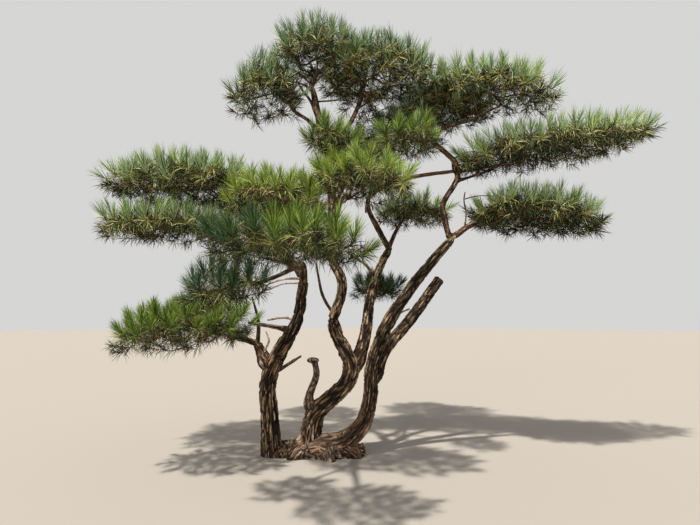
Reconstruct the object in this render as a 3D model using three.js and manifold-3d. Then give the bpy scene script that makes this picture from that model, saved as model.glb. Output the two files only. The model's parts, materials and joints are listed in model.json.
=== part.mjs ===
// A landscape pine trained in tiers: several stems from one root, and flat pads of needles on bent boughs.
// Millimetres, +Z up. The origin is on the flat cut at ground level, under the root crown.
// +X is to the right and +Y away from someone who faces the tree's open front.
import * as THREE from "three";
import { mergeVertices } from "three/addons/utils/BufferGeometryUtils.js";
import Module from "manifold-3d";

const wasm = await Module();
wasm.setup();

// Driving dimensions of the limbs
const GAP = 0.35; // left between a limb and the limb or mass that grows on it
const STOUT = 30; // a limb with a larger radius than this at its foot is a stem, a slimmer one a bough
const STEM = { sides: 8, ring: 125 }; // sides round a limb, and the way between its rings
const BOUGH = { sides: 6, ring: 125 };
const SPUR = { sides: 6, ring: 90, thick: [70, 34] }; // a root spur of the crown
const SPUR_HEADINGS = [12, 68, 135, 222, 285, 335]; // degrees round the crown
const SPUR_LINE = [[60, 60], [140, 38], [205, -38]]; // out from the middle, and up
const SPUR_STRETCH = 1.75; // how much further the spurs reach along the row of stems
const SWELL = { middle: [-30, 5, 25], half: [400, 150, 130] }; // the low swell that joins the stems' feet
const GROUND = { size: [2400, 1600, 400], middle: [0, 0, -200] }; // what the flat cut takes away
const FRAMES = 240; // steps in which a tube's frame is carried along its curve
const FLATTEN = 1.5; // slivers and steps smaller than this are smoothed out of a joined solid

// Driving dimensions of the masses
const RACHIS = { sides: 4, ring: 120, tip: 9, leave: 60, low: 0.3, stations: [-0.35, 0.15, 0.6] };
const SHOOTS_PER_SQUARE_METRE = 17.5;
const NEEDLE = 165; // reach of one spike, which stands for a spray of needles
const SHOOT_CORE = 25; // half width of the core that a shoot's sprays stand out of
const TWIG_FOOT = 6; // radius
const PERK = 0.8; // how far a shoot's sprays turn from straight out towards the way it points
const UNDERSIDE = -0.75; // cosine to the shoot's aim below which a face of its core bears no spray
const UNEVEN = 40; // how far shoots stand apart in height beyond the dome
const DOME_FALL = 2.8; // power by which the sheet falls away from its middle to its edge
const DETOUR = 0.45; // how much a twig minds a long way back to the mass's foot
const CLEARANCE = 3; // a shoot that comes nearer than this to a limb or another mass is left out
const GOLDEN_ANGLE = Math.PI * (3 - Math.sqrt(5));
const SALT = { height: 500, spin: 900, reach: 1300 }; // set a shoot's seeded numbers apart from its place

// Bark and needle colours
const BARK = new THREE.MeshStandardMaterial({ color: 0x5a4638, roughness: 0.95, metalness: 0 });
const OLD_BARK = new THREE.MeshStandardMaterial({ color: 0x4b3a2f, roughness: 0.95, metalness: 0 });
const DEAD_WOOD = new THREE.MeshStandardMaterial({ color: 0x8a7a6a, roughness: 0.9, metalness: 0 });
const NEEDLES = new THREE.MeshStandardMaterial({ color: 0x4c6b33, roughness: 0.6, metalness: 0 });

// The stems that rise from the root crown, through the points given. thick is a limb's radius at its foot and
// at its tip, flare widens its foot by a radius that fades over a share of its length, and crown is the share
// of the length that belongs to the root crown.
const ROOTED = {
  left_stem: {
    thick: [84, 42], flare: [12, 0.1], crown: 0.15,
    through: [[-412, 0, -80], [-438, 0, 300], [-455, -10, 600], [-381, -30, 810], [-207, -110, 1112],
      [-149, -230, 1399], [-130, -280, 1500]],
  },
  centre_stem: {
    thick: [100, 45], flare: [18, 0.15], crown: 0.17,
    through: [[-125, 0, -70], [-60, 0, 330], [82, -20, 471], [210, -30, 600], [240, -30, 735],
      [120, -30, 1010], [76, -50, 1170]],
  },
  right_stem: {
    thick: [66, 38], flare: [48, 0.13], crown: 0.17,
    through: [[-60, -10, 60], [191, -5, 120], [345, 0, 260], [408, 0, 500], [415, 0, 716], [557, 0, 1077],
      [725, 0, 1345], [939, 0, 1616], [1160, 0, 1868]],
  },
};

// The limbs that grow on a stem or on another limb. Each starts inside it, at a share of its length.
const GROWN = {
  left_arm: { on: "left_stem", at: 0.45, thick: [50, 34], through: [[-516, -30, 852], [-550, -52, 935]] },
  left_low_bough: {
    on: "left_arm", at: 0.95, thick: [30, 19],
    through: [[-645, -150, 966], [-700, -240, 994], [-722, -325, 1060]],
  },
  left_dead_spur: {
    on: "left_arm", at: 0.93, thick: [20, 6], dead: true,
    through: [[-530, -85, 1048], [-532, -120, 1137], [-568, -200, 1310]],
  },
  inner_bough: {
    on: "left_stem", at: 0.69, thick: [18, 9], dead: true,
    through: [[-383, -165, 1065], [-491, -215, 1085], [-589, -245, 1102]],
  },
  left_middle_bough: {
    on: "left_stem", at: 0.96, thick: [32, 18],
    through: [[-290, -270, 1660], [-480, -220, 1790], [-710, -160, 1870]],
  },
  front_bough: {
    on: "left_stem", at: 0.94, thick: [35, 20],
    through: [[-125, -560, 1530], [-150, -930, 1490], [-130, -1330, 1470]],
  },
  front_low_bough: {
    on: "front_bough", at: 0.42, thick: [20, 14],
    through: [[-250, -950, 1430], [-380, -1110, 1360]],
  },
  dead_stub: {
    on: "centre_stem", at: 0.26, thick: [36, 14], dead: true,
    through: [[-108, -50, 475], [-46, -60, 670], [-67, -70, 789]],
  },
  leader: {
    on: "centre_stem", at: 0.97, thick: [46, 30],
    through: [[160, -55, 1345], [158, -20, 1468], [78, 0, 1650], [76, 0, 2140], [31, 0, 2561],
      [-33, 20, 2840], [-110, 50, 3230]],
  },
  middle_stem: {
    on: "centre_stem", at: 0.56, thick: [56, 36],
    through: [[325, 50, 850], [373, 120, 1031], [418, 212, 1340], [536, 300, 1664], [615, 330, 1790]],
  },
  crooked_bough: {
    on: "middle_stem", at: 0.975, thick: [30, 24],
    through: [[477, 360, 2000], [410, 375, 2150], [405, 380, 2290]],
  },
  cross_bough: {
    on: "crooked_bough", at: 0.96, thick: [24, 17],
    through: [[571, 330, 2374], [815, 250, 2429], [1100, 125, 2440], [1330, 70, 2449]],
  },
  sawn_limb: {
    on: "right_stem", at: 0.335, thick: [54, 46],
    through: [[560, 140, 875], [755, 230, 1100], [1060, 330, 1490]],
  },
  right_upright: {
    on: "right_stem", at: 0.96, thick: [29, 22],
    through: [[1055, 0, 1985], [1040, 0, 2114], [1168, -20, 2350], [1150, -50, 2470], [950, -40, 2680],
      [900, 0, 2850]],
  },
  right_low_bough: {
    on: "right_stem", at: 0.985, thick: [28, 20],
    through: [[1290, 20, 1945], [1420, 50, 1985]],
  },
  crown_left_bough: {
    on: "leader", at: 0.72, thick: [25, 17],
    through: [[-120, 40, 2870], [-260, 40, 2970]],
  },
  crown_middle_bough: {
    on: "leader", at: 0.6, thick: [28, 21],
    through: [[120, -10, 2690], [240, 0, 2860], [335, 20, 3080]],
  },
  crown_heart_bough: {
    on: "leader", at: 0.56, thick: [26, 18],
    through: [[240, 120, 2700], [450, 200, 2790]],
  },
  left_high_bough: {
    on: "leader", at: 0.37, thick: [26, 18],
    through: [[-150, 60, 2180], [-400, 90, 2240], [-690, 100, 2280]],
  },
  near_left_bough: { on: "leader", at: 0.33, thick: [24, 17], through: [[0, -300, 2030], [-110, -560, 1960]] },
  near_middle_bough: { on: "leader", at: 0.41, thick: [24, 17], through: [[180, -320, 2110], [240, -600, 2050]] },
  near_upper_bough: { on: "leader", at: 0.5, thick: [18, 13], through: [[100, -320, 2370], [110, -620, 2380]] },
  near_right_bough: { on: "leader", at: 0.45, thick: [18, 13], through: [[240, -180, 2330], [400, -330, 2410]] },
  back_left_bough: { on: "leader", at: 0.25, thick: [26, 17], through: [[-130, 300, 1980], [-380, 640, 2110]] },
  back_middle_bough: { on: "leader", at: 0.52, thick: [26, 17], through: [[150, 350, 2560], [230, 680, 2720]] },
  back_right_bough: {
    on: "middle_stem", at: 0.93, thick: [24, 16],
    through: [[690, 560, 1990], [790, 760, 2150]],
  },
  back_low_bough: { on: "middle_stem", at: 0.5, thick: [18, 12], through: [[430, 460, 1330], [460, 640, 1370]] },
};

// The masses of needles, each on the bough whose tip it grows from. A mass's shoots stand on a domed sheet over
// an ellipse: middle is the sheet's middle, half its half length along the heading and across it, rise the
// dome's height, heading its direction in degrees, and lift how much higher its far end lies than its middle.
// curl is how much the last of that end turns up beyond the lift.
const MASSES = {
  crown_top: { on: "leader", middle: [-62, 50, 3535], half: [432, 400], rise: 330, heading: 180, lift: 0 },
  crown_left: {
    on: "crown_left_bough",
    middle: [-515, 20, 3172], half: [308, 380], rise: 350, heading: 180, lift: -30,
  },
  crown_middle: {
    on: "crown_middle_bough",
    middle: [545, 30, 3330], half: [560, 460], rise: 330, heading: 5, lift: -60,
  },
  crown_right: {
    on: "right_upright",
    middle: [1430, -70, 3132], half: [630, 410], rise: 240, heading: 0, lift: -20,
  },
  right_tier: {
    on: "cross_bough",
    middle: [2028, -40, 2632], half: [862, 440], rise: 130, heading: 0, lift: 108, curl: 100,
  },
  right_low: {
    on: "right_low_bough",
    middle: [1880, 110, 2080], half: [590, 480], rise: 170, heading: 4, lift: -50,
  },
  left_high: {
    on: "left_high_bough",
    middle: [-1230, 100, 2350], half: [720, 500], rise: 200, heading: 180, lift: 0, curl: 70,
  },
  left_middle: {
    on: "left_middle_bough",
    middle: [-1320, -100, 1920], half: [560, 460], rise: 120, heading: 180, lift: 0, curl: 30,
  },
  near_left: {
    on: "near_left_bough",
    middle: [-270, -880, 1990], half: [380, 340], rise: 130, heading: 250, lift: 0,
  },
  near_middle: {
    on: "near_middle_bough",
    middle: [290, -950, 2090], half: [400, 370], rise: 150, heading: 285, lift: 0,
  },
  near_upper: {
    on: "near_upper_bough",
    middle: [110, -830, 2420], half: [260, 190], rise: 70, heading: 270, lift: 0,
  },
  front: { on: "front_bough", middle: [-100, -1720, 1560], half: [350, 440], rise: 84, heading: 270, lift: 0 },
  front_low: {
    on: "front_low_bough",
    middle: [-520, -1330, 1360], half: [280, 220], rise: 80, heading: 235, lift: -30,
  },
  left_low: {
    on: "left_low_bough",
    middle: [-1010, -520, 1100], half: [520, 420], rise: 190, heading: 190, lift: -60,
  },
  back_left: {
    on: "back_left_bough",
    middle: [-740, 1060, 2260], half: [520, 460], rise: 220, heading: 130, lift: 0,
  },
  back_middle: {
    on: "back_middle_bough",
    middle: [340, 1080, 2900], half: [480, 470], rise: 240, heading: 75, lift: 0,
  },
  back_right: {
    on: "back_right_bough",
    middle: [920, 1080, 2270], half: [460, 380], rise: 90, heading: 65, lift: 0,
  },
  back_low: { on: "back_low_bough", middle: [520, 880, 1440], half: [300, 250], rise: 90, heading: 75, lift: 0 },
  crown_heart: {
    on: "crown_heart_bough",
    middle: [1010, 210, 3005], half: [545, 390], rise: 220, heading: 0, lift: 130,
  },
  near_right: {
    on: "near_right_bough",
    middle: [640, -560, 2520], half: [240, 220], rise: 90, heading: 315, lift: 0,
  },
};

const UP = new THREE.Vector3(0, 0, 1);
const EDGES = [[0, 1], [1, 2], [2, 0]]; // of a triangle, in the order of its corners
const vector = (point) => new THREE.Vector3(...point);

// A number from 0 to 1 that depends only on the seed and the count.
function seeded(seed, count) {
  const mixed = Math.sin(count * 12.9898 + seed * 78.233) * 43758.5453;
  return mixed - Math.floor(mixed);
}

// A closed geometry as a solid that can be joined and cut.
function solidOf(geometry) {
  const bare = geometry.clone();
  bare.deleteAttribute("normal");
  bare.deleteAttribute("uv");
  const merged = mergeVertices(bare, 1e-3);
  return new wasm.Manifold(
    new wasm.Mesh({
      numProp: 3,
      vertProperties: merged.attributes.position.array,
      triVerts: new Uint32Array(merged.index.array),
    }),
  );
}

// The largest body of a solid, without its loose scraps and with its sealed hollows filled.
function largestBody(solid) {
  return solid.decompose().reduce((best, body) => (body.volume() > best.volume() ? body : best));
}

// Whether two solids share any space. The boxes are compared first, as most pairs are far apart.
function meets(a, b) {
  const [one, two] = [a.boundingBox(), b.boundingBox()];
  const apart = [0, 1, 2].some((i) => one.min[i] > two.max[i] || two.min[i] > one.max[i]);
  return !apart && a.intersect(b).volume() > 0;
}

// A named mesh whose own origin is at the place where the piece starts.
function meshOf(name, solid, material, place) {
  const { numProp, vertProperties, triVerts, numVert } = solid.getMesh();
  const positions = new Float32Array(numVert * 3);
  for (let i = 0; i < numVert; i++) {
    positions[3 * i] = vertProperties[numProp * i] - place.x;
    positions[3 * i + 1] = vertProperties[numProp * i + 1] - place.y;
    positions[3 * i + 2] = vertProperties[numProp * i + 2] - place.z;
  }
  const geometry = new THREE.BufferGeometry();
  geometry.setAttribute("position", new THREE.BufferAttribute(positions, 3));
  geometry.setIndex(new THREE.BufferAttribute(new Uint32Array(triVerts), 1));
  geometry.computeVertexNormals();
  const mesh = new THREE.Mesh(geometry, material);
  mesh.name = name;
  mesh.position.copy(place);
  return mesh;
}

// A limb with its curve through the points, the curve's length, and the sides and rings of its tube.
function limbThrough(points, shape) {
  const curve = new THREE.CatmullRomCurve3(points, false, "centripetal");
  return { kind: shape.thick[0] > STOUT ? STEM : BOUGH, ...shape, curve, length: curve.getLength() };
}

// Every limb by its name, parents before what grows on them.
function workOutLimbs() {
  const limbs = {};
  for (const [name, shape] of Object.entries({ ...ROOTED, ...GROWN })) {
    const points = shape.through.map(vector);
    if (shape.on) points.unshift(limbs[shape.on].curve.getPointAt(shape.at));
    limbs[name] = limbThrough(points, shape);
  }
  return limbs;
}

// The share of a limb's length where it leaves the root crown, or 0 for a limb that grows on another.
function crownEnd(limb) {
  return limb.crown ? limb.crown + GAP / limb.length : 0;
}

// A limb's radius at a share of its length.
function radiusAt(limb, share) {
  const [foot, tip] = limb.thick;
  const [wider, over] = limb.flare ?? [0, 1];
  return foot + (tip - foot) * share + wider * Math.exp(-share / over);
}

// How many rings a limb's tube has between two shares of its length.
function ringCount(limb, from, to) {
  return Math.max(2, Math.round(((to - from) * limb.length) / limb.kind.ring));
}

// A limb's tapering tube between two shares of its length, made some millimetres fatter all round and longer at
// both ends.
function tube(limb, from = 0, to = 1, fatter = 0) {
  const frames = limb.curve.computeFrenetFrames(FRAMES, false);
  const bent = new THREE.CylinderGeometry(1, 1, 1, limb.kind.sides, ringCount(limb, from, to));
  const places = bent.getAttribute("position");
  for (let i = 0; i < places.count; i++) {
    const along = places.getY(i);
    const share = from + (to - from) * (along + 0.5);
    const frame = Math.round(share * FRAMES);
    const radius = radiusAt(limb, share) + fatter;
    const place = limb.curve
      .getPointAt(share)
      .addScaledVector(frames.normals[frame], places.getZ(i) * radius)
      .addScaledVector(frames.binormals[frame], places.getX(i) * radius)
      .addScaledVector(frames.tangents[frame], 2 * along * fatter);
    places.setXYZ(i, place.x, place.y, place.z);
  }
  return solidOf(bent);
}

// The root crown: the flared feet of the rooted stems, the low swell between them and the spurs that run out
// from it into the ground, all cut flat at ground level and clear of the stems above.
function rootCrown(limbs) {
  const swell = new THREE.SphereGeometry(1, 12, 6);
  swell.scale(...SWELL.half);
  swell.translate(...SWELL.middle);
  const rooted = Object.keys(ROOTED).map((name) => limbs[name]);
  const feet = rooted.map((limb) => tube(limb, 0, limb.crown));
  const stems = rooted.map((limb) => tube(limb, crownEnd(limb), 1, GAP));
  const spurs = SPUR_HEADINGS.map((degrees) => {
    const way = THREE.MathUtils.degToRad(degrees);
    const points = SPUR_LINE.map(([reach, height]) => {
      return new THREE.Vector3(Math.cos(way) * reach * SPUR_STRETCH, Math.sin(way) * reach, height);
    });
    return tube({ ...limbThrough(points, SPUR), kind: SPUR });
  });
  const ground = new THREE.BoxGeometry(...GROUND.size);
  ground.translate(...GROUND.middle);
  return wasm.Manifold.union([solidOf(swell), ...feet, ...spurs])
    .simplify(FLATTEN)
    .subtract(solidOf(ground))
    .subtract(wasm.Manifold.union(stems));
}

// A shoot on its twig: a small eight-sided core whose back face is drawn out into the three-sided twig, down to
// its foot, and whose other faces are each drawn out into a spray of needles. swell fattens it all for a
// clearance test.
function shootSolid({ foot, heart, aim, spin, reach }, swell = 0) {
  const core = new THREE.OctahedronGeometry(SHOOT_CORE + swell, 0).getAttribute("position");
  const faces = [];
  for (let i = 0; i < core.count; i += 3) {
    faces.push([0, 1, 2].map((j) => new THREE.Vector3().fromBufferAttribute(core, i + j)));
  }
  const centre = (face) => face[0].clone().add(face[1]).add(face[2]).divideScalar(3);
  const back = foot.clone().sub(heart).normalize();
  const turn = new THREE.Quaternion()
    .setFromUnitVectors(centre(faces[0]).normalize(), back)
    .premultiply(new THREE.Quaternion().setFromAxisAngle(back, spin));
  const corners = [];
  faces.forEach((face, k) => {
    for (const corner of face) corner.applyQuaternion(turn);
    const middle = centre(face);
    if (k === 0) {
      const shrink = (TWIG_FOOT + swell) / middle.distanceTo(face[0]);
      const toFoot = foot.clone().sub(heart);
      const end = face.map((corner) => corner.clone().sub(middle).multiplyScalar(shrink).add(toFoot));
      for (const [a, b] of EDGES) corners.push(face[a], face[b], end[b], face[a], end[b], end[a]);
      corners.push(...end);
    } else if (middle.clone().normalize().dot(aim) < UNDERSIDE) {
      corners.push(...face);
    } else {
      const tip = middle.normalize().addScaledVector(aim, PERK).setLength(reach + swell);
      for (const [a, b] of EDGES) corners.push(face[a], face[b], tip);
    }
  });
  const flat = corners.flatMap((corner) => corner.clone().add(heart).toArray());
  const geometry = new THREE.BufferGeometry();
  geometry.setAttribute("position", new THREE.BufferAttribute(new Float32Array(flat), 3));
  return solidOf(geometry);
}

// The directions of a mass in the plan: along its heading, and across it.
function headingOf(mass) {
  const ahead = THREE.MathUtils.degToRad(mass.heading);
  const along = new THREE.Vector3(Math.cos(ahead), Math.sin(ahead), 0);
  return { along, across: UP.clone().cross(along) };
}

// Where a mass's shoots stand: a spiral that spreads them evenly over the domed sheet, each with the way it
// points. Shoots near the edge lean out more and stand lower.
function shootPlaces(mass, seed, count) {
  const { along, across } = headingOf(mass);
  return Array.from({ length: count }, (_, k) => {
    const spread = Math.sqrt((k + 0.5) / count) * (0.94 + 0.12 * (seeded(seed, k) - 0.5));
    const turn = k * GOLDEN_ANGLE + seed;
    const a = spread * Math.cos(turn);
    const b = spread * Math.sin(turn);
    const uneven = UNEVEN * (seeded(seed, k + SALT.height) - 0.5);
    const tilt = mass.lift * a + (mass.curl ?? 0) * Math.max(a, 0) ** 3;
    const heart = vector(mass.middle)
      .addScaledVector(along, mass.half[0] * a)
      .addScaledVector(across, mass.half[1] * b)
      .addScaledVector(UP, mass.rise * (0.5 - spread ** DOME_FALL) + tilt + uneven);
    const lean = 0.3 + 0.6 * spread ** 2;
    const aim = new THREE.Vector3()
      .addScaledVector(along, a * lean)
      .addScaledVector(across, b * lean)
      .addScaledVector(UP, 1.05 - 0.45 * spread ** 2)
      .normalize();
    const reach = NEEDLE * (0.85 + 0.25 * seeded(seed, k + SALT.reach));
    return { heart, aim, spin: seeded(seed, k + SALT.spin) * Math.PI, reach };
  });
}

// The one stem of a mass: straight on from the tip of its bough for a short way, then low through the sheet,
// past stations that are shares of its half length.
function rachisOf(mass, bough) {
  const { along } = headingOf(mass);
  const leave = bough.curve.getTangentAt(1);
  const start = bough.curve.getPointAt(1).addScaledVector(leave, GAP);
  const stations = RACHIS.stations.map((share) => {
    return vector(mass.middle)
      .addScaledVector(along, mass.half[0] * share)
      .addScaledVector(UP, mass.lift * share - RACHIS.low * mass.rise);
  });
  const points = [start, start.clone().addScaledVector(leave, RACHIS.leave), ...stations];
  return { ...limbThrough(points, { thick: [bough.thick[1] - 1, RACHIS.tip] }), kind: RACHIS };
}

// A mass of needles: its stem, and a twig and its shoot for each place in the sheet that stays clear of every
// limb and other mass. A twig starts on the stem or on a shoot that is already there, whichever is the best way.
function growMass(mass, seed, bough, obstacles) {
  const rachis = rachisOf(mass, bough);
  const rings = ringCount(rachis, 0, 1);
  const joints = [];
  for (let i = 1; i < rings; i++) {
    joints.push({ place: rachis.curve.getPointAt(i / rings), way: (rachis.length * i) / rings });
  }
  const [long, wide] = mass.half;
  const area = (Math.PI * long * wide) / 1e6;
  const steep = 1 + mass.rise / wide / 2;
  const start = rachis.curve.getPointAt(0);
  const shoots = shootPlaces(mass, seed, Math.round(area * SHOOTS_PER_SQUARE_METRE * steep));
  shoots.sort((one, two) => one.heart.distanceTo(start) - two.heart.distanceTo(start));
  const pieces = [tube(rachis)];
  for (const shoot of shoots) {
    const cost = (joint) => joint.place.distanceTo(shoot.heart) + DETOUR * joint.way;
    const joint = joints.reduce((best, next) => (cost(next) < cost(best) ? next : best));
    shoot.foot = joint.place;
    const room = shootSolid(shoot, CLEARANCE);
    if (obstacles.some((other) => meets(room, other))) continue;
    pieces.push(shootSolid(shoot));
    joints.push({ place: shoot.heart, way: joint.way + joint.place.distanceTo(shoot.heart) });
  }
  return wasm.Manifold.union(pieces).simplify(FLATTEN);
}

// The whole tree: each limb is cut clear of the limbs before it, and each mass of its bough.
const limbs = workOutLimbs();
const stems = new THREE.Group();
const boughs = new THREE.Group();
const foliage = new THREE.Group();
const grown = [rootCrown(limbs)];
stems.add(meshOf("root_crown", grown[0], OLD_BARK, new THREE.Vector3()));

const cutters = {};
for (const [name, limb] of Object.entries(limbs)) {
  const from = crownEnd(limb);
  const cut = Object.values(cutters).reduce((left, cutter) => left.subtract(cutter), tube(limb, from));
  const solid = largestBody(cut);
  cutters[name] = tube(limb, from, 1, GAP);
  grown.push(solid);
  const living = limb.crown ? OLD_BARK : BARK;
  const group = limb.kind === STEM ? stems : boughs;
  group.add(meshOf(name, solid, limb.dead ? DEAD_WOOD : living, limb.curve.getPointAt(from)));
}

Object.entries(MASSES).forEach(([name, mass], order) => {
  const bough = limbs[mass.on];
  const solid = largestBody(growMass(mass, order + 1, bough, grown).subtract(cutters[mass.on]));
  grown.push(solid);
  foliage.add(meshOf(name, solid, NEEDLES, bough.curve.getPointAt(1)));
});

const tree = new THREE.Group();
tree.add(stems, boughs, foliage);
export default tree;
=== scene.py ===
"""A landscape pine trained in tiers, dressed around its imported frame.

The stems, boughs and dead wood are bark meshes grown over tubes along the limbs' own curves. Each mass of
needles grows on from its bough by one seeded rule: a stem, twigs, and shoots that bear new and older needles.
"""

import json
import logging
import math
from dataclasses import dataclass, field
from enum import Enum
from typing import Any

import bpy
import numpy as np
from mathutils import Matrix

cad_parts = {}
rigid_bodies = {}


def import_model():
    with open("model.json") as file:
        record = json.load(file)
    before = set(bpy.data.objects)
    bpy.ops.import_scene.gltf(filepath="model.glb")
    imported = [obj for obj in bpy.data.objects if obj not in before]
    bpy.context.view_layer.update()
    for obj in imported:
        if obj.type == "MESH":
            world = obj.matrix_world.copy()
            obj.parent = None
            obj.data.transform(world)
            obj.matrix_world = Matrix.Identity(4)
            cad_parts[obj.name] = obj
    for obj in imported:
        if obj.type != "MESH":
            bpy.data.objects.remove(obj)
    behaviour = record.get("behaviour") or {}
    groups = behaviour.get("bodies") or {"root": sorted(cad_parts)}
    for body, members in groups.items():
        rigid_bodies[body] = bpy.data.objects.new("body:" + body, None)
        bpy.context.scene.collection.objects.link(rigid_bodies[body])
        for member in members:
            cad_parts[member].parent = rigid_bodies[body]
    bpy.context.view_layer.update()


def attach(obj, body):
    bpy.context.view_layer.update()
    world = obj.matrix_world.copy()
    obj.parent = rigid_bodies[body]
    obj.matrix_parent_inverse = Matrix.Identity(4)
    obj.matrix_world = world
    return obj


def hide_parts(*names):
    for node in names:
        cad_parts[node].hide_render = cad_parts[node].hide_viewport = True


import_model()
log = logging.getLogger("pine")

Array = np.ndarray
Colour = tuple[float, float, float]

MM = 0.001
UP = np.array([0.0, 0.0, 1.0])
# The shortest length that a direction is divided by
NO_LENGTH = 1e-9
# The share of a curve's length over which its direction is read
NUDGE = 1e-3
# A limb that starts past this share of its parent's length goes on from its tip, with no collar
CARRIES_ON = 0.9
# Where along its length a limb with another on its tip begins to slim, and what is taken off its tip
SLIMS_AT_TIP = (0.94, 0.5)
# Between a bough's tip and the stem of its mass, in millimetres
GAP = 0.35


# Curves


@dataclass
class Curve:
    """A centripetal Catmull-Rom curve, measured along its own length.

    Attributes:
        points: the points it passes through, in metres.
        steps: how finely its length is measured.
        length: its length, in metres.
        knots: shares of the way through the points, evenly spaced.
        ways: the length up to each of those knots.
    """

    points: Array
    steps: int = 200
    length: float = field(init=False)
    knots: Array = field(init=False)
    ways: Array = field(init=False)

    def __post_init__(self) -> None:
        """Measure the curve."""
        self.knots = np.linspace(0.0, 1.0, self.steps + 1)
        runs = np.linalg.norm(np.diff(self.at_knot(self.knots), axis=0), axis=1)
        self.ways = np.concatenate([[0.0], np.cumsum(runs)])
        self.length = float(self.ways[-1])

    def at_knot(self, knot: Array) -> Array:
        """Places at shares of the way through the points.

        Args:
            knot: shares from 0 to 1, each point as far on as the next.

        Returns:
            One place for each share.
        """
        points = self.points
        held = np.vstack([2 * points[0] - points[1], points, 2 * points[-1] - points[-2]])
        through = np.atleast_1d(knot) * (len(points) - 1)
        first = np.minimum(np.floor(through).astype(int), len(points) - 2)
        w = (through - first)[:, None]
        p0, p1, p2, p3 = (held[first + k] for k in range(4))
        pairs = ((p0, p1), (p1, p2), (p2, p3))
        d0, d1, d2 = (np.sqrt(np.linalg.norm(b - a, axis=1))[:, None] for a, b in pairs)
        leave = ((p1 - p0) / d0 - (p2 - p0) / (d0 + d1) + (p2 - p1) / d1) * d1
        arrive = ((p2 - p1) / d1 - (p3 - p1) / (d1 + d2) + (p3 - p2) / d2) * d1
        square = -3 * p1 + 3 * p2 - 2 * leave - arrive
        cube = 2 * p1 - 2 * p2 + leave + arrive
        return p1 + w * (leave + w * (square + w * cube))

    def at(self, share: Array | float) -> Array:
        """Places at shares of the length, one row each."""
        return self.at_knot(np.interp(np.atleast_1d(share) * self.length, self.ways, self.knots))

    def tangent(self, share: Array | float) -> Array:
        """Unit directions at shares of the length, one row each."""
        near = np.clip(np.atleast_1d(share), NUDGE, 1 - NUDGE)
        return unit(self.at(near + NUDGE) - self.at(near - NUDGE))

    def frames(self, share: Array) -> tuple[Array, Array]:
        """Two directions across the curve that turn with it and never twist.

        Args:
            share: shares of the length.

        Returns:
            The two directions, one row for each share.
        """
        tangents = self.tangent(self.knots)
        across = np.zeros_like(tangents)
        first = np.cross(tangents[0], np.eye(3)[np.argmin(np.abs(tangents[0]))])
        across[0] = first / np.linalg.norm(first)
        for i in range(1, len(tangents)):
            flat = across[i - 1] - tangents[i] * (across[i - 1] @ tangents[i])
            across[i] = flat / np.linalg.norm(flat)
        shares = np.atleast_1d(share)
        one = np.stack([np.interp(shares, self.knots, across[:, k]) for k in range(3)], axis=1)
        along = self.tangent(shares)
        one = unit(one - along * np.sum(one * along, axis=1, keepdims=True))
        return one, np.cross(along, one)


def unit(rows: Array) -> Array:
    """Each row at length 1."""
    return rows / np.maximum(np.linalg.norm(rows, axis=-1, keepdims=True), NO_LENGTH)


# Seeded numbers and noise

# What the seeded rule of the source multiplies the count, the seed and the wave by
COUNT_STEP, SEED_STEP, WAVE = 12.9898, 78.233, 43758.5453
# Large numbers that stir a cell's place, its salt and the mixture of them
STIR_X, STIR_Y, STIR_Z, STIR_SALT, STIR_ALL = 73856093, 19349663, 83492791, 2654435, 1274126177
# The bits of a whole number that are kept, to be above 0 and to be read out
KEPT_BITS, READ_BITS = 0x7FFFFFFF, 0xFFFFFF


def seeded(seed: float, count: Array) -> Array:
    """Numbers from 0 to 1 that depend only on the seed and the count."""
    mixed = np.sin(count * COUNT_STEP + seed * SEED_STEP) * WAVE
    return mixed - np.floor(mixed)


def hashed(cell: Array, salt: int) -> Array:
    """A number from 0 to 1 for each whole-numbered cell of space."""
    mixed = cell[:, 0] * STIR_X ^ cell[:, 1] * STIR_Y ^ cell[:, 2] * STIR_Z ^ salt * STIR_SALT
    mixed = (mixed ^ (mixed >> 13)) * STIR_ALL & KEPT_BITS
    return ((mixed ^ (mixed >> 15)) & READ_BITS) / READ_BITS


def smoothstep(low: float, high: float, value: Array) -> Array:
    """0 below low, 1 above high and a smooth rise between."""
    t = np.clip((value - low) / (high - low), 0.0, 1.0)
    return t * t * (3 - 2 * t)


def lumps(places: Array, size: float, salt: int, octaves: int = 3) -> Array:
    """Smooth noise from about -1 to 1.

    Args:
        places: where to read it, in metres.
        size: the width of its largest lumps, in metres.
        salt: tells one noise from another.
        octaves: how many times it is added again at half the width.

    Returns:
        One number for each place.
    """
    total = np.zeros(len(places))
    aside = 17.0
    for octave in range(octaves):
        at = places / size * 2**octave + aside * octave
        cell = np.floor(at).astype(np.int64)
        w = at - cell
        w = w * w * (3 - 2 * w)
        for corner in range(8):
            step = np.array([corner & 1, corner >> 1 & 1, corner >> 2])
            weight = np.prod(np.where(step == 1, w, 1 - w), axis=1)
            total += weight * (2 * hashed(cell + step, salt + octave) - 1) / 2**octave
    return total


def plates(places: Array, size: float, salt: int) -> tuple[Array, Array]:
    """Cells like the plates of old bark.

    Args:
        places: where to read them, in metres.
        size: the width of a cell, in metres.
        salt: tells one pattern from another.

    Returns:
        How far each place lies inside its plate, from 0 in a crack, and the plate's own number from 0 to 1.
    """
    far, stray = 9.0, 0.8
    at = places / size
    home = np.floor(at).astype(np.int64)
    nearest = np.full(len(at), far)
    second = np.full(len(at), far)
    own = np.zeros(len(at))
    for index in range(27):
        cell = home + np.array([index % 3, index // 3 % 3, index // 9]) - 1
        heart = cell + 0.5 + stray * (np.stack([hashed(cell, salt + k) for k in range(3)], axis=1) - 0.5)
        away = np.linalg.norm(heart - at, axis=1)
        closer = away < nearest
        second = np.where(closer, nearest, np.minimum(second, away))
        own = np.where(closer, hashed(cell, salt + 7), own)
        nearest = np.where(closer, away, nearest)
    return second - nearest, own


# Shader nodes


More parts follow.
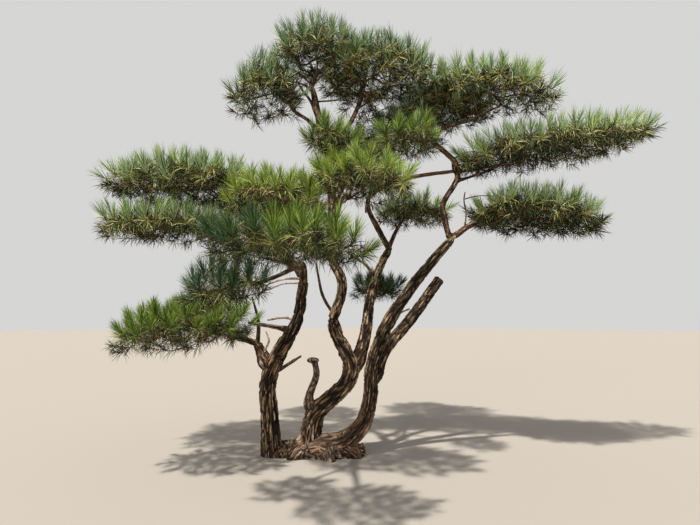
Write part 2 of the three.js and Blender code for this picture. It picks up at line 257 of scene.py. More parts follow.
class Value:
    """A shader socket, on which arithmetic adds Math nodes."""

    def __init__(self, tree: "Nodes", socket: bpy.types.NodeSocket) -> None:
        """Wrap a socket of a node tree."""
        self.tree = tree
        self.socket = socket

    def math(self, operation: str, one: Any, two: Any) -> "Value":
        """The result of a Math node on two sockets or numbers."""
        return self.tree.node("ShaderNodeMath", {"operation": operation}, {0: one, 1: two})

    def __add__(self, other: Any) -> "Value":
        """This plus other."""
        return self.math("ADD", self, other)

    def __sub__(self, other: Any) -> "Value":
        """This minus other."""
        return self.math("SUBTRACT", self, other)

    def __rsub__(self, other: Any) -> "Value":
        """Other minus this."""
        return self.math("SUBTRACT", other, self)

    def __mul__(self, other: Any) -> "Value":
        """This times other."""
        return self.math("MULTIPLY", self, other)

    __radd__ = __add__
    __rmul__ = __mul__


class Nodes:
    """The node tree of one material."""

    def __init__(self, name: str) -> None:
        """Start a material with nothing but its shader."""
        self.material = bpy.data.materials.new(name)
        self.material.use_nodes = True
        self.tree = self.material.node_tree
        self.shader = self.tree.nodes["Principled BSDF"]

    def node(self, kind: str, settings: dict[str, Any], sockets: dict[Any, Any], output: Any = 0) -> Value:
        """Add a node.

        Args:
            kind: the node's type.
            settings: its properties, or a ramp's stops under the name stops, set first.
            sockets: a Value or a plain value for each of its inputs, by name or number.
            output: which of its outputs to give back.

        Returns:
            The output, ready for arithmetic.
        """
        made = self.tree.nodes.new(kind)
        for key, value in settings.items():
            if key == "stops":
                ramp = made.color_ramp
                while len(ramp.elements) < len(value):
                    ramp.elements.new(0.5)
                for element, (place, colour) in zip(ramp.elements, value):
                    element.position = place
                    element.color = (*colour, 1.0)
            else:
                setattr(made, key, value)
        for key, value in sockets.items():
            self.feed(made.inputs[key], value)
        return Value(self, made.outputs[output])

    def feed(self, socket: bpy.types.NodeSocket, value: Any) -> None:
        """Link or set one input."""
        if isinstance(value, Value):
            self.tree.links.new(value.socket, socket)
        else:
            socket.default_value = value

    def attribute(self, name: str, output: str = "Fac") -> Value:
        """A value that the mesh holds at each vertex."""
        return self.node("ShaderNodeAttribute", {"attribute_name": name}, {}, output)

    def ramp(self, factor: Value, stops: list[tuple[float, Colour]]) -> Value:
        """A colour from a factor."""
        return self.node("ShaderNodeValToRGB", {"stops": stops}, {0: factor})

    def rise(self, factor: Value, start: float, end: float, low: float = 0.0, high: float = 1.0) -> Value:
        """A grey that goes from low to high while the factor goes from start to end."""
        return self.ramp(factor, [(start, (low,) * 3), (end, (high,) * 3)])

    def mix(self, factor: Any, one: Any, two: Any) -> Value:
        """A colour between two, from one at 0 to two at 1."""
        sockets = {"Factor": factor, 6: one, 7: two}
        return self.node("ShaderNodeMix", {"data_type": "RGBA"}, sockets, 2)

    def warp(self, at: Value, scale: float, strength: float) -> Value:
        """A vector pushed about by noise, so that a pattern on it is ragged."""
        push = self.node("ShaderNodeTexNoise", {}, {"Vector": at, "Scale": scale}, "Color")
        centred = self.node("ShaderNodeVectorMath", {"operation": "SUBTRACT"}, {0: push, 1: (0.5, 0.5, 0.5)})
        scaled = self.node("ShaderNodeVectorMath", {"operation": "SCALE"}, {0: centred, "Scale": strength})
        return self.node("ShaderNodeVectorMath", {"operation": "ADD"}, {0: at, 1: scaled})

    def noise(self, at: Value, scale: float, detail: float) -> Value:
        """Noise from 0 to 1 over a vector."""
        return self.node("ShaderNodeTexNoise", {}, {"Vector": at, "Scale": scale, "Detail": detail})


@dataclass(frozen=True)
class PlainFinish:
    """A finish of one colour, for needles, twigs and the floor.

    Attributes:
        name: the material's name.
        colour: linear red, green and blue.
        roughness: 0 for a mirror, 1 for chalk.
        gloss: the strength of its sheen, 0.5 for most things.
    """

    name: str
    colour: Colour
    roughness: float = 0.6
    gloss: float = 0.4

    def material(self) -> bpy.types.Material:
        """Make the material."""
        made = Nodes(self.name)
        made.shader.inputs["Base Color"].default_value = (*self.colour, 1.0)
        made.shader.inputs["Roughness"].default_value = self.roughness
        made.shader.inputs["Specular IOR Level"].default_value = self.gloss
        return made.material


@dataclass(frozen=True)
class SlimFinish:
    """The thin bark or bare wood of slim twigs, in streaks and patches.

    Attributes:
        name: the material's name.
        shades: its colours, from the darkest to the palest.
        streaks: how many streaks there are across a metre.
        patches: how many patches there are across a metre.
        bump: how far the streaks stand up, in metres.
        stops: where each colour lies between the darkest streak and the palest.
    """

    name: str
    shades: tuple[Colour, Colour, Colour]
    streaks: float = 75.0
    patches: float = 11.0
    bump: float = 0.002
    stops: tuple[float, float, float] = (0.3, 0.5, 0.72)

    def material(self) -> bpy.types.Material:
        """Make the material."""
        made = Nodes(self.name)
        place = made.node("ShaderNodeTexCoord", {}, {}, "Object")
        streak = made.noise(made.warp(place, 20.0, 0.02), self.streaks, 5.0)
        shade = streak * 1.2 + made.noise(place, self.patches, 2.0) * 0.8 - 0.5
        colour = made.ramp(shade, list(zip(self.stops, self.shades)))
        made.feed(made.shader.inputs["Base Color"], colour)
        made.feed(made.shader.inputs["Roughness"], 1 - streak * 0.2)
        made.shader.inputs["Specular IOR Level"].default_value = 0.2
        bump = made.node("ShaderNodeBump", {}, {"Strength": 0.7, "Distance": self.bump, "Height": streak})
        made.feed(made.shader.inputs["Normal"], bump)
        return made.material


@dataclass(frozen=True)
class BarkFinish:
    """Bark whose plates, age and scars are held by the mesh.

    Attributes:
        name: the material's name.
        old: colours of thick old plates, from the darkest to the palest.
        young: colours of thin young bark, from the darkest to the palest.
        crack: the colour down in a crack, near black: partly the fissures' own dark bark and partly painted
            shade.
        ridge_and_highlight: the pale colour of the ridges, partly worn bark and partly a painted highlight on
            them.
        scar: the colour of bare wood at the scars, also dealt in pale specks that paint highlights on the
            root crown.
        red: the colour of the inner bark where thin scales have come off.
        moss: the colour of the growth on some bark.
        stops: where each of the old and young colours lies between the darkest plate and the palest.
    """

    name: str
    old: tuple[Colour, ...] = (
        (0.038, 0.024, 0.013), (0.125, 0.078, 0.043), (0.31, 0.205, 0.112), (0.60, 0.44, 0.25))
    young: tuple[Colour, ...] = (
        (0.046, 0.025, 0.013), (0.13, 0.073, 0.036), (0.29, 0.18, 0.086), (0.56, 0.41, 0.21))
    crack: Colour = (0.008, 0.006, 0.005)
    ridge_and_highlight: Colour = (0.70, 0.51, 0.34)
    scar: Colour = (0.78, 0.58, 0.46)
    red: Colour = (0.48, 0.25, 0.145)
    moss: Colour = (0.32, 0.265, 0.115)
    stops: tuple[float, ...] = (0.0, 0.35, 0.65, 1.0)

    def material(self) -> bpy.types.Material:
        """Make the material."""
        made = Nodes(self.name)
        # Noise in the wood's own places, from broad patches to fine scales
        wood = made.attribute("wood", "Vector")
        grain = made.noise(wood, 30.0, 6.0)
        fine = made.noise(wood, 120.0, 4.0)
        flake = made.node("ShaderNodeTexVoronoi", {"feature": "DISTANCE_TO_EDGE"}, {
            "Vector": made.warp(wood, 45.0, 0.012), "Scale": 70.0})
        thin = made.rise(flake, 0.02, 0.16)
        along = made.node("ShaderNodeMapping", {}, {"Vector": wood, "Scale": (1.0, 1.0, 0.4)})
        ridge = made.noise(along, 62.0, 5.0)
        # broad: large patches that paint dappled light and shade on the bark, and also place the rosy and
        # mossy patches
        broad = made.noise(wood, 7.0, 3.0)
        # The faces of the plates, old or young, lighter and darker in broad patches that paint dappled light
        # and shade, with rosy and mossy patches
        shade = made.attribute("tone") * 0.45 + grain * 0.7 + broad * 1.9 - 1.05
        old = made.ramp(shade, list(zip(self.stops, self.old)))
        young = made.ramp(shade, list(zip(self.stops, self.young)))
        face = made.mix(made.attribute("age"), young, old)
        tint = made.attribute("tint")
        patch = made.rise(broad + fine * 0.3, 0.43, 0.65, high=0.85)
        rosy = made.rise(tint, 0.0, 1.0)
        face = made.mix(rosy * patch, face, (*self.red, 1.0))
        mossy = made.rise(0.0 - tint, 0.0, 1.0) * patch
        face = made.mix(mossy, face, (*self.moss, 1.0))
        # Pale ridges over them, partly worn bark and partly a painted highlight, and cracks between them that
        # rosy bark has less of
        wear_and_highlight = made.rise(ridge, 0.545, 0.64, high=0.9)
        ridged_and_highlit = made.mix(wear_and_highlight, face, (*self.ridge_and_highlight, 1.0))
        # Cracks and furrows darkened towards black: partly their own dark bark and partly painted shade
        furrow = made.rise(ridge, 0.36, 0.47, low=0.15)
        rough = made.attribute("plate") * (thin * 0.5 + 0.5) * furrow
        raised = rough + (1 - rough) * rosy * rosy * 0.18
        barked = made.mix(raised, (*self.crack, 1.0), ridged_and_highlit)
        # Bare wood in specks at the scars, and pale specks that paint highlights on the root crown and the
        # stems' feet
        speckled = made.rise(grain, 0.46, 0.55)
        bare = made.attribute("scar") * speckled * (raised * 0.8 + 0.2)
        made.feed(made.shader.inputs["Base Color"], made.mix(bare, barked, (*self.scar, 1.0)))
        made.feed(made.shader.inputs["Roughness"], 1 - grain * 0.2)
        made.shader.inputs["Specular IOR Level"].default_value = 0.12
        height = thin * 0.5 + ridge * 1.6 + fine * 0.5
        bump = made.node("ShaderNodeBump", {}, {"Strength": 0.9, "Distance": 0.007, "Height": height})
        made.feed(made.shader.inputs["Normal"], bump)
        return made.material


# Limbs


@dataclass(frozen=True)
class LimbShape:
    """One limb as the source lists it, in millimetres.

    Attributes:
        name: its CAD node.
        thick: its radius at the foot and at the tip.
        through: the points that its middle passes through.
        on: the limb that it grows on, or nothing for a rooted stem.
        at: the share of that limb's length where it starts.
        flare: a radius added at the foot, and the share of the length over which it fades.
    """

    name: str
    thick: tuple[float, float]
    through: tuple[tuple[float, float, float], ...]
    on: str = ""
    at: float = 0.0
    flare: tuple[float, float] = (0.0, 1.0)


# Stems that rise from the ground
ROOTED = (
    LimbShape("left_stem", (84, 42), (
        (-412, 0, -80), (-438, 0, 300), (-455, -10, 600), (-381, -30, 810), (-207, -110, 1112),
        (-149, -230, 1399), (-130, -280, 1500)), flare=(12, 0.1)),
    LimbShape("centre_stem", (100, 45), (
        (-125, 0, -70), (-60, 0, 330), (82, -20, 471), (210, -30, 600), (240, -30, 735),
        (120, -30, 1010), (76, -50, 1170)), flare=(18, 0.15)),
    LimbShape("right_stem", (66, 38), (
        (-60, -10, 60), (191, -5, 120), (345, 0, 260), (408, 0, 500), (415, 0, 716), (557, 0, 1077),
        (725, 0, 1345), (939, 0, 1616), (1160, 0, 1868)), flare=(48, 0.13)),
)
# Living limbs that grow on another
GROWN = (
    LimbShape("left_arm", (58, 40), ((-516, -30, 852), (-550, -52, 935)), "left_stem", 0.45),
    LimbShape("left_low_bough", (30, 19), (
        (-645, -150, 966), (-700, -240, 994), (-722, -325, 1060)), "left_arm", 0.95),
    LimbShape("left_middle_bough", (32, 18), (
        (-290, -270, 1660), (-480, -220, 1790), (-710, -160, 1870)), "left_stem", 0.96),
    LimbShape("front_bough", (35, 20), (
        (-125, -560, 1530), (-150, -930, 1490), (-130, -1330, 1470)), "left_stem", 0.94),
    LimbShape("front_low_bough", (20, 14), ((-250, -950, 1430), (-380, -1110, 1360)), "front_bough", 0.42),
    LimbShape("leader", (46, 30), (
        (160, -55, 1345), (158, -20, 1468), (78, 0, 1650), (76, 0, 2140), (31, 0, 2561),
        (-33, 20, 2840), (-110, 50, 3230)), "centre_stem", 0.97),
    LimbShape("middle_stem", (56, 36), (
        (325, 50, 850), (373, 120, 1031), (418, 212, 1340), (536, 300, 1664), (615, 330, 1790)),
        "centre_stem", 0.56),
    LimbShape("crooked_bough", (30, 24), (
        (477, 360, 2000), (410, 375, 2150), (405, 380, 2290)), "middle_stem", 0.975),
    LimbShape("cross_bough", (24, 17), (
        (571, 330, 2374), (815, 250, 2429), (1100, 125, 2440), (1330, 70, 2449)), "crooked_bough", 0.96),
    LimbShape("sawn_limb", (54, 46), (
        (560, 140, 875), (755, 230, 1100), (1060, 330, 1490)), "right_stem", 0.335),
    LimbShape("right_upright", (29, 22), (
        (1055, 0, 1985), (1040, 0, 2114), (1168, -20, 2350), (1150, -50, 2470), (950, -40, 2680),
        (900, 0, 2850)), "right_stem", 0.96),
    LimbShape("right_low_bough", (28, 20), ((1290, 20, 1945), (1420, 50, 1985)), "right_stem", 0.985),
    LimbShape("crown_left_bough", (25, 17), ((-120, 40, 2870), (-260, 40, 2970)), "leader", 0.72),
    LimbShape("crown_middle_bough", (28, 21), (
        (120, -10, 2690), (240, 0, 2860), (335, 20, 3080)), "leader", 0.6),
    LimbShape("crown_heart_bough", (26, 18), ((240, 120, 2700), (450, 200, 2790)), "leader", 0.56),
    LimbShape("left_high_bough", (26, 18), (
        (-150, 60, 2180), (-400, 90, 2240), (-690, 100, 2280)), "leader", 0.37),
    LimbShape("near_left_bough", (24, 17), ((0, -300, 2030), (-110, -560, 1960)), "leader", 0.33),
    LimbShape("near_middle_bough", (24, 17), ((180, -320, 2110), (240, -600, 2050)), "leader", 0.41),
    LimbShape("near_upper_bough", (18, 13), ((100, -320, 2370), (110, -620, 2380)), "leader", 0.5),
    LimbShape("near_right_bough", (18, 13), ((240, -180, 2330), (400, -330, 2410)), "leader", 0.45),
    LimbShape("back_left_bough", (26, 17), ((-130, 300, 1980), (-380, 640, 2110)), "leader", 0.25),
    LimbShape("back_middle_bough", (26, 17), ((150, 350, 2560), (230, 680, 2720)), "leader", 0.52),
    LimbShape("back_right_bough", (24, 16), ((690, 560, 1990), (790, 760, 2150)), "middle_stem", 0.93),
    LimbShape("back_low_bough", (18, 12), ((430, 460, 1330), (460, 640, 1370)), "middle_stem", 0.5),
)
# Dead limbs, a little stouter than their solids where the photograph shows them so
DEAD = (
    LimbShape("left_dead_spur", (24, 8), (
        (-530, -85, 1048), (-532, -120, 1137), (-568, -200, 1310)), "left_arm", 0.93),
    LimbShape("inner_bough", (27, 12), (
        (-383, -165, 1065), (-491, -215, 1085), (-589, -245, 1102)), "left_stem", 0.69),
    LimbShape("dead_stub", (42, 25), (
        (-108, -50, 475), (-46, -60, 670), (-67, -70, 789)), "centre_stem", 0.26),
)
# Slim forks that only the scene has, fused into the living limbs
FORKS = (
    LimbShape("fork", (18, 9), (
        (378, 230, 1611), (260, 200, 1681), (197, 180, 1733)), "middle_stem", 0.735),
    LimbShape("loop", (13, 9), (
        (1130, -30, 2435), (1131, -30, 2507), (1195, -20, 2545), (1290, 0, 2534)), "right_upright", 0.5),
    LimbShape("long_fork", (16, 9), (
        (1279, -20, 2358), (1405, -40, 2397), (1549, -60, 2453), (1758, -80, 2470)), "right_upright", 0.47),
    LimbShape("crown_strand", (40, 13), (
        (-8, -20, 2800), (-58, -24, 2960), (-66, -10, 3070), (-98, 24, 3190)), "leader", 0.68),
    LimbShape("crown_fork", (22, 8), (
        (-113, -10, 3043), (-194, -10, 3154), (-258, 0, 3274)), "leader", 0.83),
    LimbShape("short_fork", (13, 8), (
        (1274, 30, 2425), (1423, 60, 2461), (1620, 90, 2515)), "right_upright", 0.54),
)
# Slim bare twigs that only the scene has, by the colour of their bark
BARE_DARK = (
    LimbShape("left_spur", (22, 10), (
        (-347, -30, 712), (-267, -60, 763), (-174, -80, 822)), "left_stem", 0.44),
    LimbShape("hanging_spur", (15, 8), (
        (40, -45, 1250), (-3, -60, 1340), (-26, -120, 1453), (-47, -200, 1596)), "leader", 0.02),
    LimbShape("low_shoot", (9, 5), (
        (1246, 20, 2047), (1226, 0, 2158), (1237, 0, 2229)), "right_low_bough", 0.35),
    LimbShape("low_twig", (5, 3), ((1230, 0, 2167), (1339, -40, 2185), (1509, -80, 2176))),
    LimbShape("crown_twig_1", (10, 4), (
        (38, -10, 3048), (163, -50, 3040), (303, -80, 3001)), "leader", 0.92),
    LimbShape("crown_twig_2", (10, 4), (
        (-198, 20, 3300), (-299, -40, 3337), (-420, -60, 3347)), "leader", 0.99),
    LimbShape("crown_twig_3", (10, 4), (
        (-18, 20, 3300), (91, -30, 3362), (215, -50, 3380)), "leader", 0.99),
    LimbShape("crown_twig_4", (9, 4), (
        (-159, 0, 3191), (-259, -60, 3200), (-377, -100, 3164)), "leader", 0.95),
    LimbShape("crown_limb", (21, 8), (
        (1063, -50, 2792), (1276, -80, 2848), (1411, -100, 2912), (1534, -100, 2966)), "right_upright", 0.88),
    LimbShape("crown_arch", (15, 5), (
        (362, -30, 3180), (357, -60, 3260), (300, -90, 3400), (251, -100, 3455), (150, -100, 3492),
        (58, -100, 3501)), "crown_middle_bough", 0.86),
    LimbShape("crown_twig_6", (9, 4), ((391, -100, 3474), (522, -100, 3428)), "crown_arch", 0.6),
    LimbShape("crown_twig_5", (9, 4), (
        (409, -30, 3049), (479, -60, 3127), (583, -80, 3173)), "crown_middle_bough", 0.85),
)
BARE_RED = (
    LimbShape("pad_twig_1", (10, 4), (
        (30, -750, 1968), (-87, -980, 1916), (-208, -1100, 1930), (-334, -1180, 1958), (-495, -1150, 1979)),
        "near_left_bough", 0.8),
    LimbShape("pad_twig_2", (10, 4), ((165, -1000, 1915), (26, -1150, 1880), (-86, -1200, 1892)),
        "near_middle_bough", 0.85),
)
BARE_PALE = (
    LimbShape("pale_twig", (13, 9), (
        (-290, -140, 1140), (-351, -220, 1138), (-416, -320, 1123)), "left_stem", 0.746),
    LimbShape("pale_bent_twig", (12, 7), (
        (-470, -30, 790), (-478, -55, 870), (-444, -75, 945), (-469, -85, 1028))),
    LimbShape("prong_1", (12, 10), ((386, 345, 2180), (380, 325, 2110)), "crooked_bough", 0.83),
    LimbShape("prong_2", (11, 9), ((436, 352, 2190), (448, 335, 2137)), "crooked_bough", 0.83),
    LimbShape("stub", (11, 7), ((690, 10, 1192), (745, 20, 1212)), "right_stem", 0.6),
    LimbShape("front_twig_1", (11, 4), (
        (-288, -300, 1449), (-451, -420, 1386), (-624, -480, 1345)), "left_stem", 0.97),
    LimbShape("front_twig_2", (8, 4), (
        (-301, -320, 1408), (-410, -380, 1357), (-497, -420, 1340)), "left_stem", 0.945),
)

SLIM_DARK = SlimFinish("dark_twig", ((0.018, 0.012, 0.009), (0.055, 0.036, 0.024), (0.19, 0.12, 0.075)))
SLIM_RED = SlimFinish("red_twig", ((0.040, 0.020, 0.013), (0.125, 0.062, 0.038), (0.33, 0.20, 0.13)))
SLIM_PALE = SlimFinish("pale_twig", ((0.10, 0.065, 0.048), (0.32, 0.235, 0.185), (0.60, 0.49, 0.41)))
DEAD_SHADES = ((0.09, 0.07, 0.055), (0.2, 0.16, 0.13), (0.33, 0.27, 0.215), (0.5, 0.42, 0.34))


@dataclass(frozen=True)
class Collar:
    """How a limb swells where it leaves its parent's side, in shares of its radius at the foot.

    Attributes:
        past: how far past the parent's side the swell is highest.
        height: how high it is.
        width: how long it is.
        held: the limb's radius inside its parent, as a share of the parent's.
    """

    past: float = 0.4
    height: float = 0.3
    width: float = 1.1
    held: float = 0.8


@dataclass
class Limb:
    """A limb with its curve worked out, in metres.

    Attributes:
        shape: the limb as the source lists it.
        curve: its middle line.
        parent: the limb that it grows on.
        carried_on: whether another limb goes on from its tip, so that its own end is rounded off inside it.
        collar: how it swells where it leaves its parent.
        bead: the way between the places that stand for it where distances to it are measured.
        beads: those places, and its radius at each.
    """

    shape: LimbShape
    curve: Curve
    parent: "Limb | None" = None
    carried_on: bool = False
    collar: Collar = Collar()
    bead: float = 0.03
    beads: tuple[Array, Array] = field(init=False)

    def __post_init__(self) -> None:
        """Set the beads along the middle line."""
        shares = np.linspace(0, 1, max(4, round(self.curve.length / self.bead)))
        self.beads = (self.curve.at(shares), self.radius(shares))

    def radius(self, share: Array | float) -> Array:
        """The radius at shares of the length."""
        foot, tip = self.shape.thick
        wider, over = self.shape.flare
        share = np.atleast_1d(share)
        return MM * (foot + (tip - foot) * share + wider * np.exp(-share / over))

    def leaves(self) -> float:
        """How far along the limb it comes out of its parent, in metres."""
        shares = np.linspace(0, 1, 200)
        apart = self.parent.curve.at(shares)[None] - self.curve.at(shares)[:, None]
        gaps = np.linalg.norm(apart, axis=2)
        outside = gaps.min(1) > self.parent.radius(gaps.argmin(1) / (len(shares) - 1))
        return float(shares[np.argmax(outside)] * self.curve.length)

    def girth(self, share: Array) -> Array:
        """The radius with a collar where the limb leaves its parent's side, and slim inside the parent."""
        radius = self.radius(share)
        if self.carried_on:
            begins, taken = SLIMS_AT_TIP
            radius = radius * (1 - taken * smoothstep(begins, 1.0, share))
        if self.parent is None or self.shape.at > CARRIES_ON:
            return radius
        way = share * self.curve.length
        out = self.leaves()
        foot = MM * self.shape.thick[0]
        past = np.abs(way - out - self.collar.past * foot)
        swell = self.collar.height * foot * np.exp(-((past / (self.collar.width * foot)) ** 2))
        risen = smoothstep(0.0, out, way)
        held = float(self.parent.radius(self.shape.at)[0]) * self.collar.held
        inside = np.minimum(radius, held) * (1 - risen) + (radius + swell) * risen
        return np.where(way < out, inside, radius + swell)


def work_out_limbs() -> dict[str, Limb]:
    """Every limb by its name, parents before what grows on them."""
    limbs: dict[str, Limb] = {}
    for shape in ROOTED + GROWN + DEAD + FORKS + BARE_DARK + BARE_RED + BARE_PALE:
        points = np.array(shape.through, float) * MM
        parent = limbs.get(shape.on)
        if parent is not None:
            points = np.vstack([parent.curve.at(shape.at), points])
            parent.carried_on = parent.carried_on or shape.at > CARRIES_ON
        limbs[shape.name] = Limb(shape, Curve(points), parent)
    return limbs


# Meshes


def deselect() -> None:
    """Leave nothing selected, so that an operator acts only on what comes next."""
    bpy.ops.object.select_all(action="DESELECT")


def select_only(piece: bpy.types.Object) -> None:
    """Select one object and make it active."""
    deselect()
    piece.select_set(True)
    bpy.context.view_layer.objects.active = piece


def places_of(piece: bpy.types.Object) -> Array:
    """The places of a mesh's vertices."""
    flat = np.empty(len(piece.data.vertices) * 3)
    piece.data.vertices.foreach_get("co", flat)
    return flat.reshape(-1, 3)


def set_places(piece: bpy.types.Object, places: Array) -> None:
    """Move a mesh's vertices."""
    piece.data.vertices.foreach_set("co", places.ravel())
    piece.data.update()


def mesh_piece(name: str, places: Array, triangles: Array, tones: Array) -> bpy.types.Object:
    """A new object from arrays.

    Args:
        name: the piece's name.
        places: one row for each vertex.
        triangles: three vertex numbers for each face.
        tones: the material number of each face.

    Returns:
        The object, in the scene.
    """
    mesh = bpy.data.meshes.new(name)
    count = len(triangles)
    mesh.vertices.add(len(places))
    mesh.vertices.foreach_set("co", places.astype(np.float32).ravel())
    mesh.loops.add(count * 3)
    mesh.loops.foreach_set("vertex_index", triangles.astype(np.int32).ravel())
    mesh.polygons.add(count)
    mesh.polygons.foreach_set("loop_start", np.arange(count, dtype=np.int32) * 3)
    mesh.polygons.foreach_set("material_index", tones.astype(np.int32))
    mesh.update(calc_edges=True)
    piece = bpy.data.objects.new(name, mesh)
    bpy.context.scene.collection.objects.link(piece)
    return piece


def seat(piece: bpy.types.Object, nodes: list[str]) -> None:
    """Fix a finished piece to the tree.

    Args:
        piece: the piece.
        nodes: the CAD nodes that it stands for.
    """
    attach(piece, "root")
    if nodes:
        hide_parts(*nodes)
    piece.data.calc_loop_triangles()
    log.info("%s: %d triangles", piece.name, len(piece.data.loop_triangles))


# Timber


class Bark(Enum):
    """How a limb's surface is broken up."""

    OLD = "old"
    YOUNG = "young"
    DEAD = "dead"


@dataclass(frozen=True)
class Relief:
    """How deep and how wide the marks in a surface are, in metres.

    Attributes:
        plate: the width of a plate.
        depth: the depth of the cracks between plates.
        scale: the width of the small scales on a plate.
        flake: how far they stand up.
        strand: the height of the ridges that run along the limb.
        lump: the height of broad lumps, as a share of the limb's radius.
        burl: the height of the knobs on the root crown.
    """

    plate: float
    depth: float
    scale: float
    flake: float
    strand: float
    lump: float
    burl: float


@dataclass(frozen=True)
class Pattern:
    """What every kind of bark has in common, with lengths in metres.

    Attributes:
        plate_edge: how far inside a plate its edge begins to rise and has risen, as shares of its width.
        scale_edge: the same for the small scales.
        ragged: how far the edges of plates and of scales stray, as shares of their widths.
        ragged_width: the width of what makes them stray, as a share of a plate's.
        sunk: how far the plates lie below the limb's own girth, as a share of the cracks' depth.
        uneven: how much they differ in height, as a share of it.
        full: the radius of a limb on which the marks are at their deepest.
        shallowest: what is left of them on thin limbs.
        strand: the width of the ridges along a limb, and how much shorter they are than the plates.
        lump: the width of broad lumps, and the same.
        burl: the width of the root crown's knobs.
        crown: how far outside every limb the root crown's own wood begins and is full.
        old: the radii from which bark begins to look old and from which it looks wholly so.
        highlight_height: the heights on the root crown from which it begins to take pale specks that paint
            highlights and takes them wholly.
        highlight_side: the same for how far to the side they lie.
        wear_and_highlight: how strong those painted highlight specks are on the stems' feet, and how much
            more on the root crown's own wood.
        scar_edge: the shares of the radius of each place in SCARS where its bare wood begins and is full.
        plate_tone: how much of a place's tone is its plate's, the rest being its scale's.
        scale_dark: how dark the cracks between scales are painted, partly their own bark and partly painted
            shade, from 0 for black to 1.
    """

    plate_edge: tuple[float, float] = (0.04, 0.34)
    scale_edge: tuple[float, float] = (0.02, 0.4)
    ragged: tuple[float, float] = (0.5, 0.25)
    ragged_width: float = 0.9
    sunk: float = 0.75
    uneven: float = 0.5
    full: float = 0.06
    shallowest: float = 0.3
    strand: tuple[float, float] = (0.05, 0.45)
    lump: tuple[float, float] = (0.13, 0.8)
    burl: float = 0.075
    crown: tuple[float, float] = (0.010, 0.035)
    old: tuple[float, float] = (0.022, 0.062)
    highlight_height: tuple[float, float] = (0.34, 0.12)
    highlight_side: tuple[float, float] = (0.38, 0.14)
    wear_and_highlight: tuple[float, float] = (0.3, 0.45)
    scar_edge: tuple[float, float] = (1.15, 0.75)
    plate_tone: float = 0.55
    scale_dark: float = 0.35


# How rosy a limb's bark is at its foot and at its tip, or how mossy where below 0
PLAIN_TINT = (0.4, 0.4)
TINTS = {
    "left_stem": (0.1, 0.2),
    "centre_stem": (0.3, 0.1),
    "right_stem": (1.0, -1.1),
    "leader": (0.1, 0.3),
    "middle_stem": (0.8, -0.9),
    "sawn_limb": (0.3, -0.2),
    "cross_bough": (1.0, 1.0),
}
# Middle and half sizes of two swellings, in millimetres
BURL = ((-500, -45, 752), (34, 30, 46))
STUB_HEAD = ((-76, -70, 786), (54, 32, 27))
# Middle and radius of the places where the wood is bare, in millimetres
SCARS = (((-510, -58, 752), 44), ((1060, 330, 1490), 40))
RELIEF = {
    Bark.OLD: Relief(
        plate=0.031, depth=0.014, scale=0.015, flake=0.0045, strand=0.007, lump=0.17, burl=0.030),
    Bark.YOUNG: Relief(
        plate=0.024, depth=0.006, scale=0.014, flake=0.002, strand=0.003, lump=0.13, burl=0.0),
    Bark.DEAD: Relief(
        plate=0.018, depth=0.004, scale=0.010, flake=0.001, strand=0.004, lump=0.18, burl=0.0),
}


